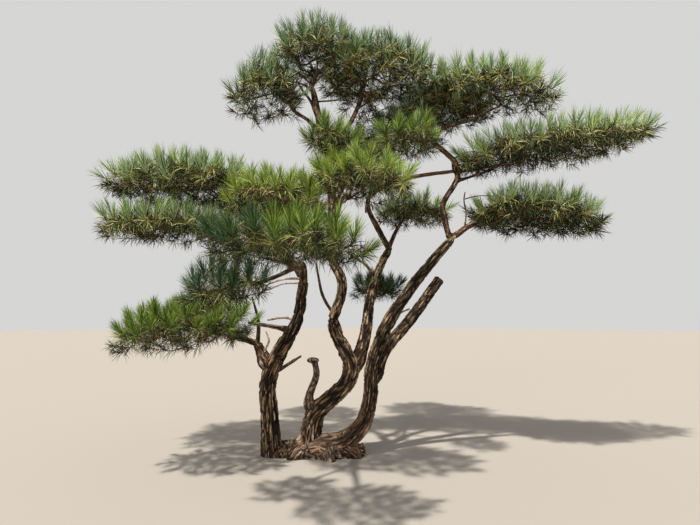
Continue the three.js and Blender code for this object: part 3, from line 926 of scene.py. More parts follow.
@dataclass
class Timber:
    """One bark mesh over several limbs.

    Attributes:
        name: the piece's name.
        limbs: the limbs that it covers.
        bark: its kind of surface.
        voxel: the width of a face, in metres.
        sides: sides of a limb's tube before the tubes are fused.
        ring: the way between the rings of such a tube, in metres.
        stretch: how much longer a plate is along the limb than across it.
        eased: how many times the fused skin is smoothed where limbs meet.
        station: the way between the places on a limb that the skin is measured from, in metres.
        reach: how far from a limb the skin is measured, in metres.
        pattern: how the marks in the surface are made.
    """

    name: str
    limbs: list[Limb]
    bark: Bark
    voxel: float
    sides: int = 24
    ring: float = 0.03
    stretch: float = 5.0
    eased: int = 6
    station: float = 0.012
    reach: float = 0.3
    pattern: Pattern = Pattern()

    def tube(self, limb: Limb) -> bpy.types.Object:
        """A cylinder that is cut into rings, bent along the limb's curve and tapered."""
        rings = max(3, round(limb.curve.length / self.ring))
        deselect()
        bpy.ops.mesh.primitive_cylinder_add(vertices=self.sides, radius=1, depth=1, end_fill_type="TRIFAN")
        piece = bpy.context.object
        straight = places_of(piece)
        pairs = np.empty(len(piece.data.edges) * 2, int)
        piece.data.edges.foreach_get("vertices", pairs)
        ends = straight[pairs.reshape(-1, 2), 2]
        self.subdivide(piece, np.abs(ends[:, 0] - ends[:, 1]) > 0.5, rings - 1)
        straight = places_of(piece)
        share = straight[:, 2] + 0.5
        one, two = limb.curve.frames(share)
        radius = limb.girth(share)
        across = (one * straight[:, :1] + two * straight[:, 1:2]) * radius[:, None]
        set_places(piece, limb.curve.at(share) + across)
        return piece

    @staticmethod
    def subdivide(piece: bpy.types.Object, chosen: Array, cuts: int) -> None:
        """Cut the chosen edges of a mesh into equal parts."""
        select_only(piece)
        bpy.context.tool_settings.mesh_select_mode = (False, True, False)
        bpy.ops.object.mode_set(mode="EDIT")
        bpy.ops.mesh.select_all(action="DESELECT")
        bpy.ops.object.mode_set(mode="OBJECT")
        piece.data.edges.foreach_set("select", chosen)
        bpy.ops.object.mode_set(mode="EDIT")
        bpy.ops.mesh.subdivide(number_cuts=cuts)
        bpy.ops.object.mode_set(mode="OBJECT")

    def fuse(self, tubes: list[bpy.types.Object]) -> bpy.types.Object:
        """Join the tubes, make one even skin over them and cut it flat at ground level."""
        deselect()
        for tube in tubes:
            tube.select_set(True)
        bpy.context.view_layer.objects.active = tubes[0]
        if len(tubes) > 1:
            bpy.ops.object.join()
        piece = bpy.context.view_layer.objects.active
        piece.name = self.name
        piece.data.name = self.name
        skin = piece.modifiers.new("skin", "REMESH")
        skin.mode = "VOXEL"
        skin.voxel_size = self.voxel
        select_only(piece)
        bpy.ops.object.modifier_apply(modifier=skin.name)
        ease = piece.modifiers.new("ease", "SMOOTH")
        ease.factor = 0.5
        ease.iterations = self.eased
        bpy.ops.object.modifier_apply(modifier=ease.name)
        if places_of(piece)[:, 2].min() < 0:
            bpy.ops.object.mode_set(mode="EDIT")
            bpy.ops.mesh.select_all(action="SELECT")
            bpy.ops.mesh.bisect(plane_co=(0, 0, 0), plane_no=(0, 0, 1), use_fill=True, clear_inner=True)
            bpy.ops.object.mode_set(mode="OBJECT")
        return piece

    def read_wood(self, places: Array) -> dict[str, Array]:
        """Where each place lies on the limbs.

        Args:
            places: the skin's vertices.

        Returns:
            For each place its limb's number, the share along it, and the gap to the limb's surface.
        """
        far = 1e9
        best = np.full(len(places), far)
        number = np.zeros(len(places), int)
        share = np.zeros(len(places))
        for k, limb in enumerate(self.limbs):
            stations = np.linspace(0, 1, max(8, round(limb.curve.length / self.station)))
            middles = limb.curve.at(stations)
            low, high = middles.min(0) - self.reach, middles.max(0) + self.reach
            near = np.all((places > low) & (places < high), axis=1)
            index = np.flatnonzero(near)
            apart = ((places[index, None, :] - middles[None, :, :]) ** 2).sum(2)
            closest = apart.argmin(1)
            gap = np.sqrt(apart[np.arange(len(index)), closest]) - limb.radius(stations[closest])
            closer = gap < best[index]
            number[index] = np.where(closer, k, number[index])
            share[index] = np.where(closer, stations[closest], share[index])
            best[index] = np.where(closer, gap, best[index])
        return {"number": number, "share": share, "gap": best}

    def unroll(self, places: Array, wood: dict[str, Array]) -> tuple[Array, Array]:
        """Lay the skin out along its limbs, so that patterns on it run with the wood.

        Args:
            places: the skin's vertices.
            wood: where each lies on the limbs.

        Returns:
            Each vertex's own place in the wood, and the radius of its limb there.
        """
        apart, wide = 3.7, 0.12
        local = np.zeros_like(places)
        radius = np.full(len(places), wide)
        for k, limb in enumerate(self.limbs):
            own = np.flatnonzero(wood["number"] == k)
            if not len(own):
                continue
            share = wood["share"][own]
            along = limb.curve.tangent(share)
            out = places[own] - limb.curve.at(share)
            ahead = np.sum(out * along, axis=1)
            out -= along * ahead[:, None]
            one, two = limb.curve.frames(share)
            way = (share * limb.curve.length + ahead) / self.stretch
            local[own] = np.stack([np.sum(out * one, axis=1), np.sum(out * two, axis=1), way], axis=1)
            local[own] += apart * k
            radius[own] = limb.radius(share)
        return local, radius

    def bareness_and_highlight(self, places: Array, burl: Array) -> Array:
        """How much each place takes the bare-wood colour: bare wood at the scars, and pale specks low on the
        root crown that paint highlights.
        """
        pattern = self.pattern
        scar = np.zeros(len(places))
        # Pale specks that paint highlights, low on the stems' feet and more on the root crown's own wood
        if self.bark is Bark.OLD:
            low = smoothstep(*pattern.highlight_height, places[:, 2])
            inner = smoothstep(*pattern.highlight_side, np.abs(places[:, 0]))
            scar = low * inner * (pattern.wear_and_highlight[0] + pattern.wear_and_highlight[1] * burl)
        for place, size in SCARS:
            away = np.linalg.norm(places - np.array(place) * MM, axis=1) / (size * MM)
            scar = np.maximum(scar, smoothstep(*pattern.scar_edge, away))
        return scar

    def tint(self, wood: dict[str, Array]) -> Array:
        """How rosy the bark is at each place, or how mossy where below 0."""
        tints = np.array([TINTS.get(limb.shape.name, PLAIN_TINT) for limb in self.limbs])[wood["number"]]
        return tints[:, 0] + (tints[:, 1] - tints[:, 0]) * wood["share"]

    def plated(self, local: Array) -> dict[str, Array]:
        """The plates and the small scales on them, both with ragged edges.

        Args:
            local: each vertex's place in the wood.

        Returns:
            How far each vertex is raised with its plate and with its scale, from 0 in a crack to 1, its
            plate's own number, and the tone of its plate and scale.
        """
        relief, pattern = RELIEF[self.bark], self.pattern
        plate_stray, scale_stray = pattern.ragged
        edge_width = relief.plate * pattern.ragged_width
        ragged = np.stack([lumps(local, edge_width, salt=40 + k) for k in range(3)], axis=1)
        inside, number = plates(local + plate_stray * relief.plate * ragged, relief.plate, salt=3)
        scale_inside, scale_number = plates(local + scale_stray * relief.scale * ragged, relief.scale, salt=5)
        share = pattern.plate_tone
        return {
            "raised": smoothstep(*pattern.plate_edge, inside),
            "scales": smoothstep(*pattern.scale_edge, scale_inside),
            "number": number,
            "tone": np.clip(share * number + (1 - share) * scale_number, 0, 1),
        }

    def relief_of(self, places: Array, local: Array, radius: Array, burl: Array,
                  marks: dict[str, Array]) -> Array:
        """How far each vertex is moved out along its normal.

        Args:
            places: the skin's vertices.
            local: each vertex's place in the wood.
            radius: the radius of its limb there.
            burl: how much it belongs to the root crown's own wood.
            marks: the plates and scales there.

        Returns:
            One distance in metres for each vertex.
        """
        relief, pattern = RELIEF[self.bark], self.pattern
        # Marks are shallower on thin limbs, and a limb's broad lumps grow with its girth
        thin = np.clip(radius / pattern.full, pattern.shallowest, 1.0)
        strand_width, strand_short = pattern.strand
        lump_width, lump_short = pattern.lump
        strands = lumps(local * np.array([1.0, 1.0, strand_short]), strand_width, salt=61)
        swelling = relief.lump * radius * lumps(local * np.array([1.0, 1.0, lump_short]), lump_width, salt=11)
        knobs = lumps(places, pattern.burl, salt=23, octaves=4)
        swelling += relief.strand * thin * strands + relief.burl * burl * knobs
        height = marks["raised"] - pattern.sunk + pattern.uneven * (marks["number"] - 0.5)
        depth = relief.depth * thin * height
        depth = depth + relief.flake * thin * (marks["scales"] - 0.5)
        return depth + swelling

    def carve(self, piece: bpy.types.Object) -> None:
        """Press the bark's plates, cracks and lumps into the skin, and keep what the finish reads."""
        places = places_of(piece)
        normals = np.empty(len(places) * 3)
        piece.data.vertex_normals.foreach_get("vector", normals)
        normals = normals.reshape(-1, 3)
        wood = self.read_wood(places)
        local, radius = self.unroll(places, wood)
        # The root crown's own swell lies outside every limb, so its pattern follows space
        burl = np.zeros(len(places))
        if self.bark is Bark.OLD:
            burl = smoothstep(*self.pattern.crown, wood["gap"])
        local = np.where(burl[:, None] > 0.5, places, local)
        marks = self.plated(local)
        moved = places + normals * self.relief_of(places, local, radius, burl, marks)[:, None]
        level = 1e-4
        on_ground = places[:, 2] < level
        moved[:, 2] = np.where(on_ground, 0.0, np.maximum(moved[:, 2], 0.0))
        set_places(piece, moved)
        dead = self.bark is Bark.DEAD
        # The plate value darkens the cracks between plates and scales: their own dark bark with painted shade
        dark = self.pattern.scale_dark
        kept = {
            "plate": marks["raised"] * (dark + (1 - dark) * marks["scales"]),
            "tone": marks["tone"],
            "age": np.ones(len(places)) if dead else smoothstep(*self.pattern.old, radius),
            "scar": self.bareness_and_highlight(places, burl),
            "tint": self.tint(wood),
        }
        for name, values in kept.items():
            attribute = piece.data.attributes.new(name, "FLOAT", "POINT")
            attribute.data.foreach_set("value", values.astype(np.float32))
        vector = piece.data.attributes.new("wood", "FLOAT_VECTOR", "POINT")
        vector.data.foreach_set("vector", local.astype(np.float32).ravel())

    def build(self, extra: list[bpy.types.Object]) -> bpy.types.Object:
        """Make the piece.

        Args:
            extra: closed shapes that are fused with the limbs' tubes.

        Returns:
            The bark mesh, with no material yet.
        """
        piece = self.fuse([self.tube(limb) for limb in self.limbs] + extra)
        self.carve(piece)
        select_only(piece)
        bpy.ops.object.shade_smooth()
        return piece


def ball(middle: tuple[float, float, float], half: tuple[float, float, float]) -> bpy.types.Object:
    """A stretched sphere, from its middle and its half width, depth and height in millimetres."""
    deselect()
    bpy.ops.mesh.primitive_uv_sphere_add(segments=48, ring_count=24, radius=1)
    piece = bpy.context.object
    set_places(piece, (places_of(piece) * half + middle) * MM)
    return piece


@dataclass
class RootCrown:
    """The low swell and the spurs that join the stems' feet.

    Attributes:
        middle: the middle of the swell, in millimetres.
        half: its half width, depth and height.
        headings: where the spurs run out, in degrees.
        line: a spur's way out from the middle and its height, before it is stretched.
        stretch: how much further the spurs reach along the row of stems.
        thick: a spur's radius at its foot and at its tip.
    """

    middle: tuple[float, float, float] = (-30, 5, 25)
    half: tuple[float, float, float] = (400, 150, 130)
    headings: tuple[float, ...] = (12, 68, 135, 222, 285, 335)
    line: tuple[tuple[float, float], ...] = ((60, 60), (140, 38), (205, -38))
    stretch: float = 1.75
    thick: tuple[float, float] = (70, 34)

    def spurs(self) -> list[Limb]:
        """The spurs, as limbs."""
        made: list[Limb] = []
        for heading in self.headings:
            way = math.radians(heading)
            points = tuple((math.cos(way) * reach * self.stretch, math.sin(way) * reach, height)
                           for reach, height in self.line)
            made.append(Limb(LimbShape("spur", self.thick, points), Curve(np.array(points) * MM)))
        return made


# Foliage


class Tone(Enum):
    """The colours that needles are dealt out in, by spray."""

    BLUE = 0
    GREY = 1
    DEEP = 2
    MID = 3
    FRESH = 4
    LIME = 5
    OLIVE = 6
    PALE = 7
    STRAW = 8
    RUST = 9
    DARK = 10


NEEDLE_FINISHES = {
    Tone.BLUE: PlainFinish("needles_blue", (0.062, 0.130, 0.068), 0.5, 0.25),
    # GREY: pale grey-green, partly the needles' own colour and partly a painted highlight
    Tone.GREY: PlainFinish("needles_grey", (0.340, 0.445, 0.265), 0.5, 0.25),
    Tone.DEEP: PlainFinish("needles_deep", (0.022, 0.046, 0.014), 0.5, 0.2),
    Tone.MID: PlainFinish("needles_mid", (0.115, 0.190, 0.030), 0.5, 0.25),
    Tone.FRESH: PlainFinish("needles_fresh", (0.265, 0.380, 0.046), 0.5, 0.25),
    Tone.LIME: PlainFinish("needles_lime", (0.450, 0.520, 0.085), 0.5, 0.25),
    Tone.OLIVE: PlainFinish("needles_olive", (0.130, 0.130, 0.028), 0.55, 0.2),
    # PALE: pale yellow-green of older needles, partly their own colour and partly a painted highlight
    Tone.PALE: PlainFinish("needles_pale", (0.430, 0.440, 0.165), 0.55, 0.25),
    Tone.STRAW: PlainFinish("needles_straw", (0.480, 0.370, 0.165), 0.6, 0.2),
    Tone.RUST: PlainFinish("needles_rust", (0.190, 0.080, 0.030), 0.7, 0.2),
    # DARK: near black, dealt mostly to needles under the sheets and in shade, where it paints shade
    Tone.DARK: PlainFinish("needles_dark", (0.010, 0.014, 0.006), 0.6, 0.15),
}
TWIG_FINISHES = (
    PlainFinish("twig_brown", (0.075, 0.044, 0.027), 0.85, 0.2),
    PlainFinish("twig_red", (0.24, 0.115, 0.062), 0.85, 0.2),
    PlainFinish("twig_dark", (0.030, 0.020, 0.015), 0.9, 0.2),
    PlainFinish("bud", (0.42, 0.20, 0.095), 0.7, 0.3),
)
BUD = 3


@dataclass(frozen=True)
class Needles:
    """The needles of one age on a shoot, with lengths in millimetres and angles in degrees.

    Attributes:
        count: needles on a shoot.
        spray: needles that share a tone.
        length: the shortest and the longest.
        width: a needle's width.
        lean: how far it leans off its twig, where it stands furthest on and furthest back.
        scatter: how much that lean varies.
        stand: where the needles stand, from behind the shoot's heart to past it.
        droop: how far its tip hangs, as a share of its length.
        waist: where its middle lies, as a share of its length.
        waist_width: its width there, as a share of its width at the foot.
        waist_fall: how far its middle hangs, as a share of how far its tip does.
        behind: how far back along its twig a needle may stand, as a share of the twig's length.
    """

    count: int
    spray: int
    length: tuple[float, float]
    width: float
    lean: tuple[float, float]
    scatter: float
    stand: tuple[float, float]
    droop: float
    waist: float = 0.6
    waist_width: float = 0.85
    waist_fall: float = 0.3
    behind: float = 0.95


@dataclass(frozen=True)
class NeedleSet:
    """The needles that a mass bears.

    Attributes:
        new: the year's needles, round each shoot's candle.
        older: those that hang out behind them.
        inside: the sparse ones along the twigs under the sheet.
    """

    new: Needles
    older: Needles
    inside: Needles


LONG = NeedleSet(
    new=Needles(
        count=36, spray=2, length=(108, 162), width=3.7, lean=(4, 32), scatter=7, stand=(-4, 50),
        droop=0.03),
    older=Needles(
        count=42, spray=2, length=(88, 126), width=4.5, lean=(50, 96), scatter=16, stand=(-115, -4),
        droop=0.42),
    inside=Needles(
        count=42, spray=2, length=(74, 112), width=4.6, lean=(24, 88), scatter=16, stand=(-210, 30),
        droop=0.18))
SHORT = NeedleSet(
    new=Needles(
        count=118, spray=2, length=(84, 126), width=2.6, lean=(4, 46), scatter=8, stand=(-14, 50),
        droop=0.04),
    older=Needles(
        count=64, spray=2, length=(76, 112), width=2.9, lean=(50, 96), scatter=15, stand=(-110, -6),
        droop=0.40),
    inside=Needles(
        count=56, spray=2, length=(70, 102), width=3.6, lean=(24, 88), scatter=16, stand=(-190, 30),
        droop=0.20))


@dataclass(frozen=True)
class Look:
    """The needles of a mass, and how often each tone falls on them.

    Attributes:
        needles: its needles.
        new: tones of the year's needles.
        older: tones of the needles that hang behind them round the sheet's rim.
    """

    needles: NeedleSet
    new: dict[Tone, float]
    older: dict[Tone, float]


def mixture(**shares: float) -> dict[Tone, float]:
    """How often each tone falls on a spray, from the tones' names in small letters."""
    return {Tone[name.upper()]: share for name, share in shares.items()}


# How often each tone falls on the needles under a sheet, mostly dark: older needles' own colours and painted
# shade
INSIDE_OLD_AND_SHADED = mixture(dark=0.52, deep=0.24, olive=0.17, rust=0.05, pale=0.02)
# The same for older needles in from the sheet's rim, darker than on the rim: their own colours and painted
# shade
OLDER_IN_SHADE = mixture(dark=0.24, deep=0.24, olive=0.28, mid=0.07, pale=0.12, rust=0.05)
# The same for older needles round the rim of the crown and the tiers, paler: their own colours and a painted
# highlight
RIM_OLDER_LIT = mixture(dark=0.09, deep=0.08, olive=0.25, pale=0.28, mid=0.08, straw=0.09, rust=0.04, grey=0.09)


class Dress(Enum):
    """How a mass is coloured."""

    CROWN = Look(
        LONG,
        mixture(blue=0.32, grey=0.30, deep=0.18, mid=0.12, fresh=0.08),
        RIM_OLDER_LIT)
    TIER = Look(
        LONG,
        mixture(blue=0.14, grey=0.44, deep=0.06, mid=0.10, fresh=0.20, lime=0.06),
        RIM_OLDER_LIT)
    NEAR = Look(
        SHORT,
        mixture(fresh=0.34, lime=0.18, mid=0.23, grey=0.06, deep=0.14, pale=0.05),
        mixture(olive=0.27, pale=0.29, fresh=0.12, lime=0.05, straw=0.09, rust=0.07, deep=0.11))
    # The near masses' needles in duller, darker tones: painted shade on masses that lie in shade
    HIGH = Look(
        SHORT,
        mixture(fresh=0.22, mid=0.34, deep=0.26, blue=0.08, lime=0.05, grey=0.05),
        mixture(olive=0.32, deep=0.26, pale=0.16, mid=0.12, straw=0.05, rust=0.09))
    FRONT = Look(
        SHORT,
        mixture(mid=0.40, deep=0.27, fresh=0.25, blue=0.03, lime=0.05),
        mixture(deep=0.38, olive=0.30, mid=0.14, pale=0.07, straw=0.04, rust=0.07))
    SHADE = Look(
        SHORT,
        mixture(deep=0.52, mid=0.10, blue=0.33, dark=0.05),
        mixture(deep=0.44, dark=0.34, olive=0.19, rust=0.03))


@dataclass(frozen=True)
class MassShape:
    """One mass of needles as the source lists it, in millimetres.

    Attributes:
        name: its CAD node.
        on: the bough that it grows from.
        middle: the middle of its domed sheet of shoots.
        half: the sheet's half length along its heading and across it.
        rise: the dome's height.
        heading: its direction, in degrees.
        lift: how much higher its far end lies than its middle.
        dress: how it looks.
        curl: how much the last of its far end turns up beyond that.
        deep: how far down its inner shoots reach, against the rule.
        dense: how many of them it has, against the rule.
        shaded_to: the place along X that its shaded side reaches to.
    """

    name: str
    on: str
    middle: tuple[float, float, float]
    half: tuple[float, float]
    rise: float
    heading: float
    lift: float
    dress: Dress
    curl: float = 0.0
    deep: float = 1.0
    dense: float = 1.0
    shaded_to: float = -5000.0


# In the source's order, which sets each mass's seed; right_tier and near_right are a little wider here
MASSES = (
    MassShape("crown_top", "leader", (-62, 50, 3535), (432, 400), 330, 180, 0, Dress.CROWN, deep=0.8),
    MassShape("crown_left", "crown_left_bough", (-515, 20, 3172), (308, 380), 350, 180, -30, Dress.CROWN,
              deep=0.8),
    MassShape("crown_middle", "crown_middle_bough", (545, 30, 3330), (560, 460), 330, 5, -60, Dress.CROWN,
              deep=1.75),
    MassShape("crown_right", "right_upright", (1430, -70, 3132), (630, 410), 240, 0, -20, Dress.TIER,
              deep=0.45),
    MassShape("right_tier", "cross_bough", (1995, -40, 2632), (895, 440), 130, 0, 108, Dress.TIER,
              curl=100, deep=0.7, dense=1.25),
    MassShape("right_low", "right_low_bough", (1880, 110, 2080), (590, 480), 170, 4, -50, Dress.TIER,
              dense=1.8),
    MassShape("left_high", "left_high_bough", (-1230, 100, 2350), (720, 500), 200, 180, 0, Dress.TIER,
              curl=70, dense=1.2),
    MassShape("left_middle", "left_middle_bough", (-1320, -100, 1920), (560, 460), 120, 180, 0, Dress.TIER,
              curl=30, deep=0.6),
    MassShape("near_left", "near_left_bough", (-270, -880, 1990), (380, 340), 130, 250, 0, Dress.NEAR,
              deep=0.6),
    MassShape("near_middle", "near_middle_bough", (290, -950, 2090), (400, 370), 150, 285, 0, Dress.NEAR,
              deep=0.4),
    MassShape("near_upper", "near_upper_bough", (110, -830, 2420), (260, 190), 70, 270, 0, Dress.HIGH,
              deep=0.8),
    MassShape("front", "front_bough", (-100, -1720, 1560), (350, 440), 84, 270, 0, Dress.FRONT,
              shaded_to=-225),
    MassShape("front_low", "front_low_bough", (-520, -1330, 1360), (280, 220), 80, 235, -30, Dress.SHADE),
    MassShape("left_low", "left_low_bough", (-1010, -520, 1100), (520, 420), 190, 190, -60, Dress.FRONT),
    MassShape("back_left", "back_left_bough", (-740, 1060, 2260), (520, 460), 220, 130, 0, Dress.TIER),
    MassShape("back_middle", "back_middle_bough", (340, 1080, 2900), (480, 470), 240, 75, 0, Dress.CROWN),
    MassShape("back_right", "back_right_bough", (920, 1080, 2270), (460, 380), 90, 65, 0, Dress.TIER),
    MassShape("back_low", "back_low_bough", (520, 880, 1440), (300, 250), 90, 75, 0, Dress.SHADE),
    MassShape("crown_heart", "crown_heart_bough", (1010, 210, 3005), (545, 390), 220, 0, 130, Dress.CROWN,
              deep=0.7),
    MassShape("near_right", "near_right_bough", (700, -560, 2530), (280, 220), 96, 315, 0, Dress.HIGH),
)


@dataclass(frozen=True)
class GrowthRule:
    """The rule by which every mass grows, with lengths in millimetres.

    Attributes:
        shoots: shoots for each square metre of sheet.
        below: shoots that hang under the sheet, as a share of those that stand on it.
        inner: how much that share grows for each metre of the dome's height.
        sunk: how far under the sheet they start, nearest and furthest.
        hollow: the share of the dome's height that they fill in its middle.
        uneven: how far shoots stand apart in height beyond the dome.
        rim: how far out the rim begins; older needles on it are dealt paler tones, a painted highlight, and
            those in from it darker ones, a painted shade.
        slope: how much further in it begins for each metre of the dome's height.
        dome_fall: the power by which the sheet falls away from its middle to its edge.
        sway: how far a shoot's aim strays.
        spaced: how evenly shoots fill the sheet up to its edge, and how much each strays in or out.
        lean: how far a shoot leans out in the sheet's middle, and how much more at its edge.
        upright: how much it points up in the middle, and how much less at the edge.
        bend: the power by which that changes on the way out.
        within: how far out the shoots under the sheet reach.
        fan: how far those point to any side, and the least and the most that they point up.
        detour: how much a twig minds a long way back to the mass's foot.
        stem_tip: the radius of the mass's one stem at its tip.
        slims: what is left of its bough's girth soon after it leaves it.
        slims_over: the share of its length over which it slims.
        leave: how far that stem runs straight on from its bough.
        low: how far below the sheet's middle it runs, as a share of the rise.
        stations: where it passes, as shares of the half length.
        wander: how far it strays from a straight way between them.
        ring: the way between the places where twigs start on it.
        twig: the radius of a twig that bears one shoot.
        carries: the power by which a twig thickens with the shoots that it carries.
        clear: how near a shoot may come to a limb.
        near_foot: the share of that at each quarter of its twig's way.
    """

    shoots: float = 76.0
    below: float = 0.75
    inner: float = 1.6
    sunk: tuple[float, float] = (20.0, 62.0)
    hollow: float = 1.3
    uneven: float = 92.0
    rim: float = 0.88
    slope: float = 0.8
    dome_fall: float = 2.8
    sway: float = 0.17
    spaced: tuple[float, float] = (0.94, 0.12)
    lean: tuple[float, float] = (0.18, 0.75)
    upright: tuple[float, float] = (1.05, 0.4)
    bend: int = 5
    within: float = 0.97
    fan: tuple[float, float, float] = (0.7, 0.05, 0.6)
    detour: float = 0.45
    stem_tip: float = 6.0
    slims: float = 0.52
    slims_over: float = 0.14
    leave: float = 60.0
    low: float = 0.3
    stations: tuple[float, ...] = (-0.35, 0.15, 0.6)
    wander: float = 26.0
    ring: float = 60.0
    twig: float = 1.9
    carries: float = 0.42
    clear: float = 30.0
    near_foot: tuple[float, ...] = (0.15, 0.3, 0.6, 1.0)


GOLDEN_ANGLE = math.pi * (3 - math.sqrt(5))
# How far a shoot runs on past its heart, in millimetres
CANDLE = 52.0
# Where a twig's places lie on its way from its foot to its heart
TWIG_STEPS = (0.0, 0.36, 0.7, 1.0)
# How far back along its aim and how far down a twig is bowed, as shares of its length
TWIG_BOW = (0.38, 0.06)
# What is left of a twig's girth on its way to its heart
TWIG_TAPER = (1.0, 0.88, 0.78)
# The share of that girth at the heart, the most it may be there, and the candle's tip, in metres
CANDLE_THICK = (0.7, 0.0045, 0.0022)
# How often each of the twigs' finishes but the bud falls on a twig
TWIG_SHARES = (0.45, 0.25, 0.3)


@dataclass
class Shoots:
    """Shoots that have found their twigs, one row each.

    Attributes:
        foot: where the twig starts.
        heart: where the shoot turns up into its candle.
        aim: the way it points.
        load: how many shoots its twig carries.
        stands: whether it stands on the sheet, or hangs under it.
        spread: how far out it lies, from 0 in the middle to 1 at the edge.
    """

    foot: Array
    heart: Array
    aim: Array
    load: Array
    stands: Array
    spread: Array

    def only(self, chosen: Array) -> "Shoots":
        """The chosen shoots."""
        return Shoots(self.foot[chosen], self.heart[chosen], self.aim[chosen], self.load[chosen],
                      self.stands[chosen], self.spread[chosen])

    def paths(self) -> Array:
        """Each twig's way as five places: it leaves low, turns up to its heart and ends in the candle."""
        long = np.linalg.norm(self.heart - self.foot, axis=1, keepdims=True)
        back, down = TWIG_BOW
        bend = self.heart - self.aim * long * back - UP * long * down
        path = [(1 - s) ** 2 * self.foot + 2 * s * (1 - s) * bend + s**2 * self.heart for s in TWIG_STEPS]
        path.append(self.heart + self.aim * CANDLE * MM)
        return np.stack(path, axis=1)


@dataclass
class Mass:
    """One mass of needles on its bough.

    Attributes:
        shape: the mass as the source lists it.
        seed: its place in that list, from 1.
        bough: the limb whose tip it grows from.
        limbs: every limb, which its shoots keep clear of.
        finishes: the needles' and the twigs' materials.
        rule: how it grows.
        along: the direction of its heading.
        across: the level direction across that.
        dice: its own seeded dice.
        stem: its one stem.
    """

    shape: MassShape
    seed: int
    bough: Limb
    limbs: dict[str, Limb]
    finishes: "Finishes"
    rule: GrowthRule = GrowthRule()
    along: Array = field(init=False)
    across: Array = field(init=False)
    dice: np.random.Generator = field(init=False)
    stem: Limb = field(init=False)

    def __post_init__(self) -> None:
        """Work out the mass's directions, its own dice and its stem."""
        ahead = math.radians(self.shape.heading)
        self.along = np.array([math.cos(ahead), math.sin(ahead), 0.0])
        self.across = np.cross(UP, self.along)
        self.dice = np.random.default_rng(1000 + self.seed)
        self.stem = self.work_out_stem()

    def sheet(self, spread: Array, turn: Array) -> tuple[Array, Array, Array]:
        """Places on the domed sheet.

        Args:
            spread: how far out each lies, from 0 in the middle to 1 at the edge.
            turn: its angle round the middle.

        Returns:
            The places in millimetres, and how far each lies along the mass and across it, from -1 to 1.
        """
        shape = self.shape
        a, b = spread * np.cos(turn), spread * np.sin(turn)
        height = shape.rise * (0.5 - spread**self.rule.dome_fall) + shape.lift * a
        height += shape.curl * np.maximum(a, 0.0) ** 3
        places = np.array(shape.middle) + np.outer(a * shape.half[0], self.along)
        places += np.outer(b * shape.half[1], self.across) + np.outer(height, UP)
        return places, a, b

    def shoot_places(self) -> Shoots:
        """Where the shoots stand and which way they point, over the sheet and under it."""
        shape, rule = self.shape, self.rule
        long, wide = shape.half
        area = math.pi * long * wide / 1e6
        count = round(area * rule.shoots * (1 + shape.rise / wide / 2))
        k = np.arange(count)
        evenly, stray = rule.spaced
        spread = np.sqrt((k + 0.5) / count) * (evenly + stray * (seeded(self.seed, k) - 0.5))
        heart, a, b = self.sheet(spread, k * GOLDEN_ANGLE + self.seed)
        other_count = 500
        heart += np.outer(rule.uneven * (seeded(self.seed, k + other_count) - 0.5), UP)
        edge = spread**rule.bend
        lean = rule.lean[0] + rule.lean[1] * edge
        aim = np.outer(a * lean, self.along) + np.outer(b * lean, self.across)
        aim = aim + np.outer(rule.upright[0] - rule.upright[1] * edge, UP)

        few = round(count * shape.dense * (rule.below + rule.inner * shape.deep * shape.rise / 1000))
        k = np.arange(few)
        inner_spread = rule.within * np.sqrt((k + 0.5) / few)
        turned = 2.0
        under, a, b = self.sheet(inner_spread, k * GOLDEN_ANGLE + self.seed + turned)
        nearest, furthest = rule.sunk
        deepest = furthest + rule.hollow * shape.deep * shape.rise * (1 - inner_spread**2)
        under -= np.outer(nearest + (deepest - nearest) * self.dice.random(few), UP)
        turn = self.dice.uniform(0, 2 * math.pi, few)
        side, least_up, most_up = rule.fan
        out = np.outer(a + side * np.cos(turn), self.along) + np.outer(b + side * np.sin(turn), self.across)
        out += np.outer(self.dice.uniform(least_up, most_up, few), UP)

        hearts = np.vstack([heart, under]) * MM
        aims = unit(np.vstack([unit(aim), unit(out)]) + rule.sway * self.dice.normal(size=hearts.shape))
        rows = len(hearts)
        return Shoots(np.zeros((rows, 3)), hearts, aims, np.ones(rows), np.arange(rows) < count,
                      np.concatenate([spread, inner_spread]))

    def work_out_stem(self) -> Limb:
        """The mass's one stem, from the tip of its bough low through the sheet, straying as it goes."""
        shape, rule = self.shape, self.rule
        leave = self.bough.curve.tangent(1.0)[0]
        start = self.bough.curve.at(1.0)[0] / MM + leave * GAP
        stations = [np.array(shape.middle) + self.along * shape.half[0] * share
                    + UP * (shape.lift * share - rule.low * shape.rise) for share in rule.stations]
        straight = Curve(np.array([start, start + leave * rule.leave, *stations]) * MM)
        between, settled = 0.11, 0.3
        shares = np.linspace(0, 1, max(5, round(straight.length / between)))
        stray = self.dice.normal(size=(len(shares), 3)) * smoothstep(0.0, settled, shares)[:, None]
        points = straight.at(shares) + stray * rule.wander * MM
        foot = self.bough.shape.thick[1] - 1
        thick = (foot * rule.slims, rule.stem_tip)
        flare = (foot * (1 - rule.slims), rule.slims_over)
        return Limb(LimbShape(shape.name, thick, (), flare=flare), Curve(points))

    def clear_of_limbs(self, heart: Array, foot: Array) -> bool:
        """Whether a shoot and its twig keep clear of every limb but the mass's own bough."""
        path = foot + (heart - foot) * np.array([0.25, 0.5, 0.75, 1.0])[:, None]
        need = self.rule.clear * MM * np.array(self.rule.near_foot)[:, None]
        for limb in self.limbs.values():
            middles, radii = limb.beads
            apart = np.linalg.norm(path[:, None, :] - middles[None, :, :], axis=2) - radii
            if (apart < (0.0 if limb is self.bough else need)).any():
                return False
        return True

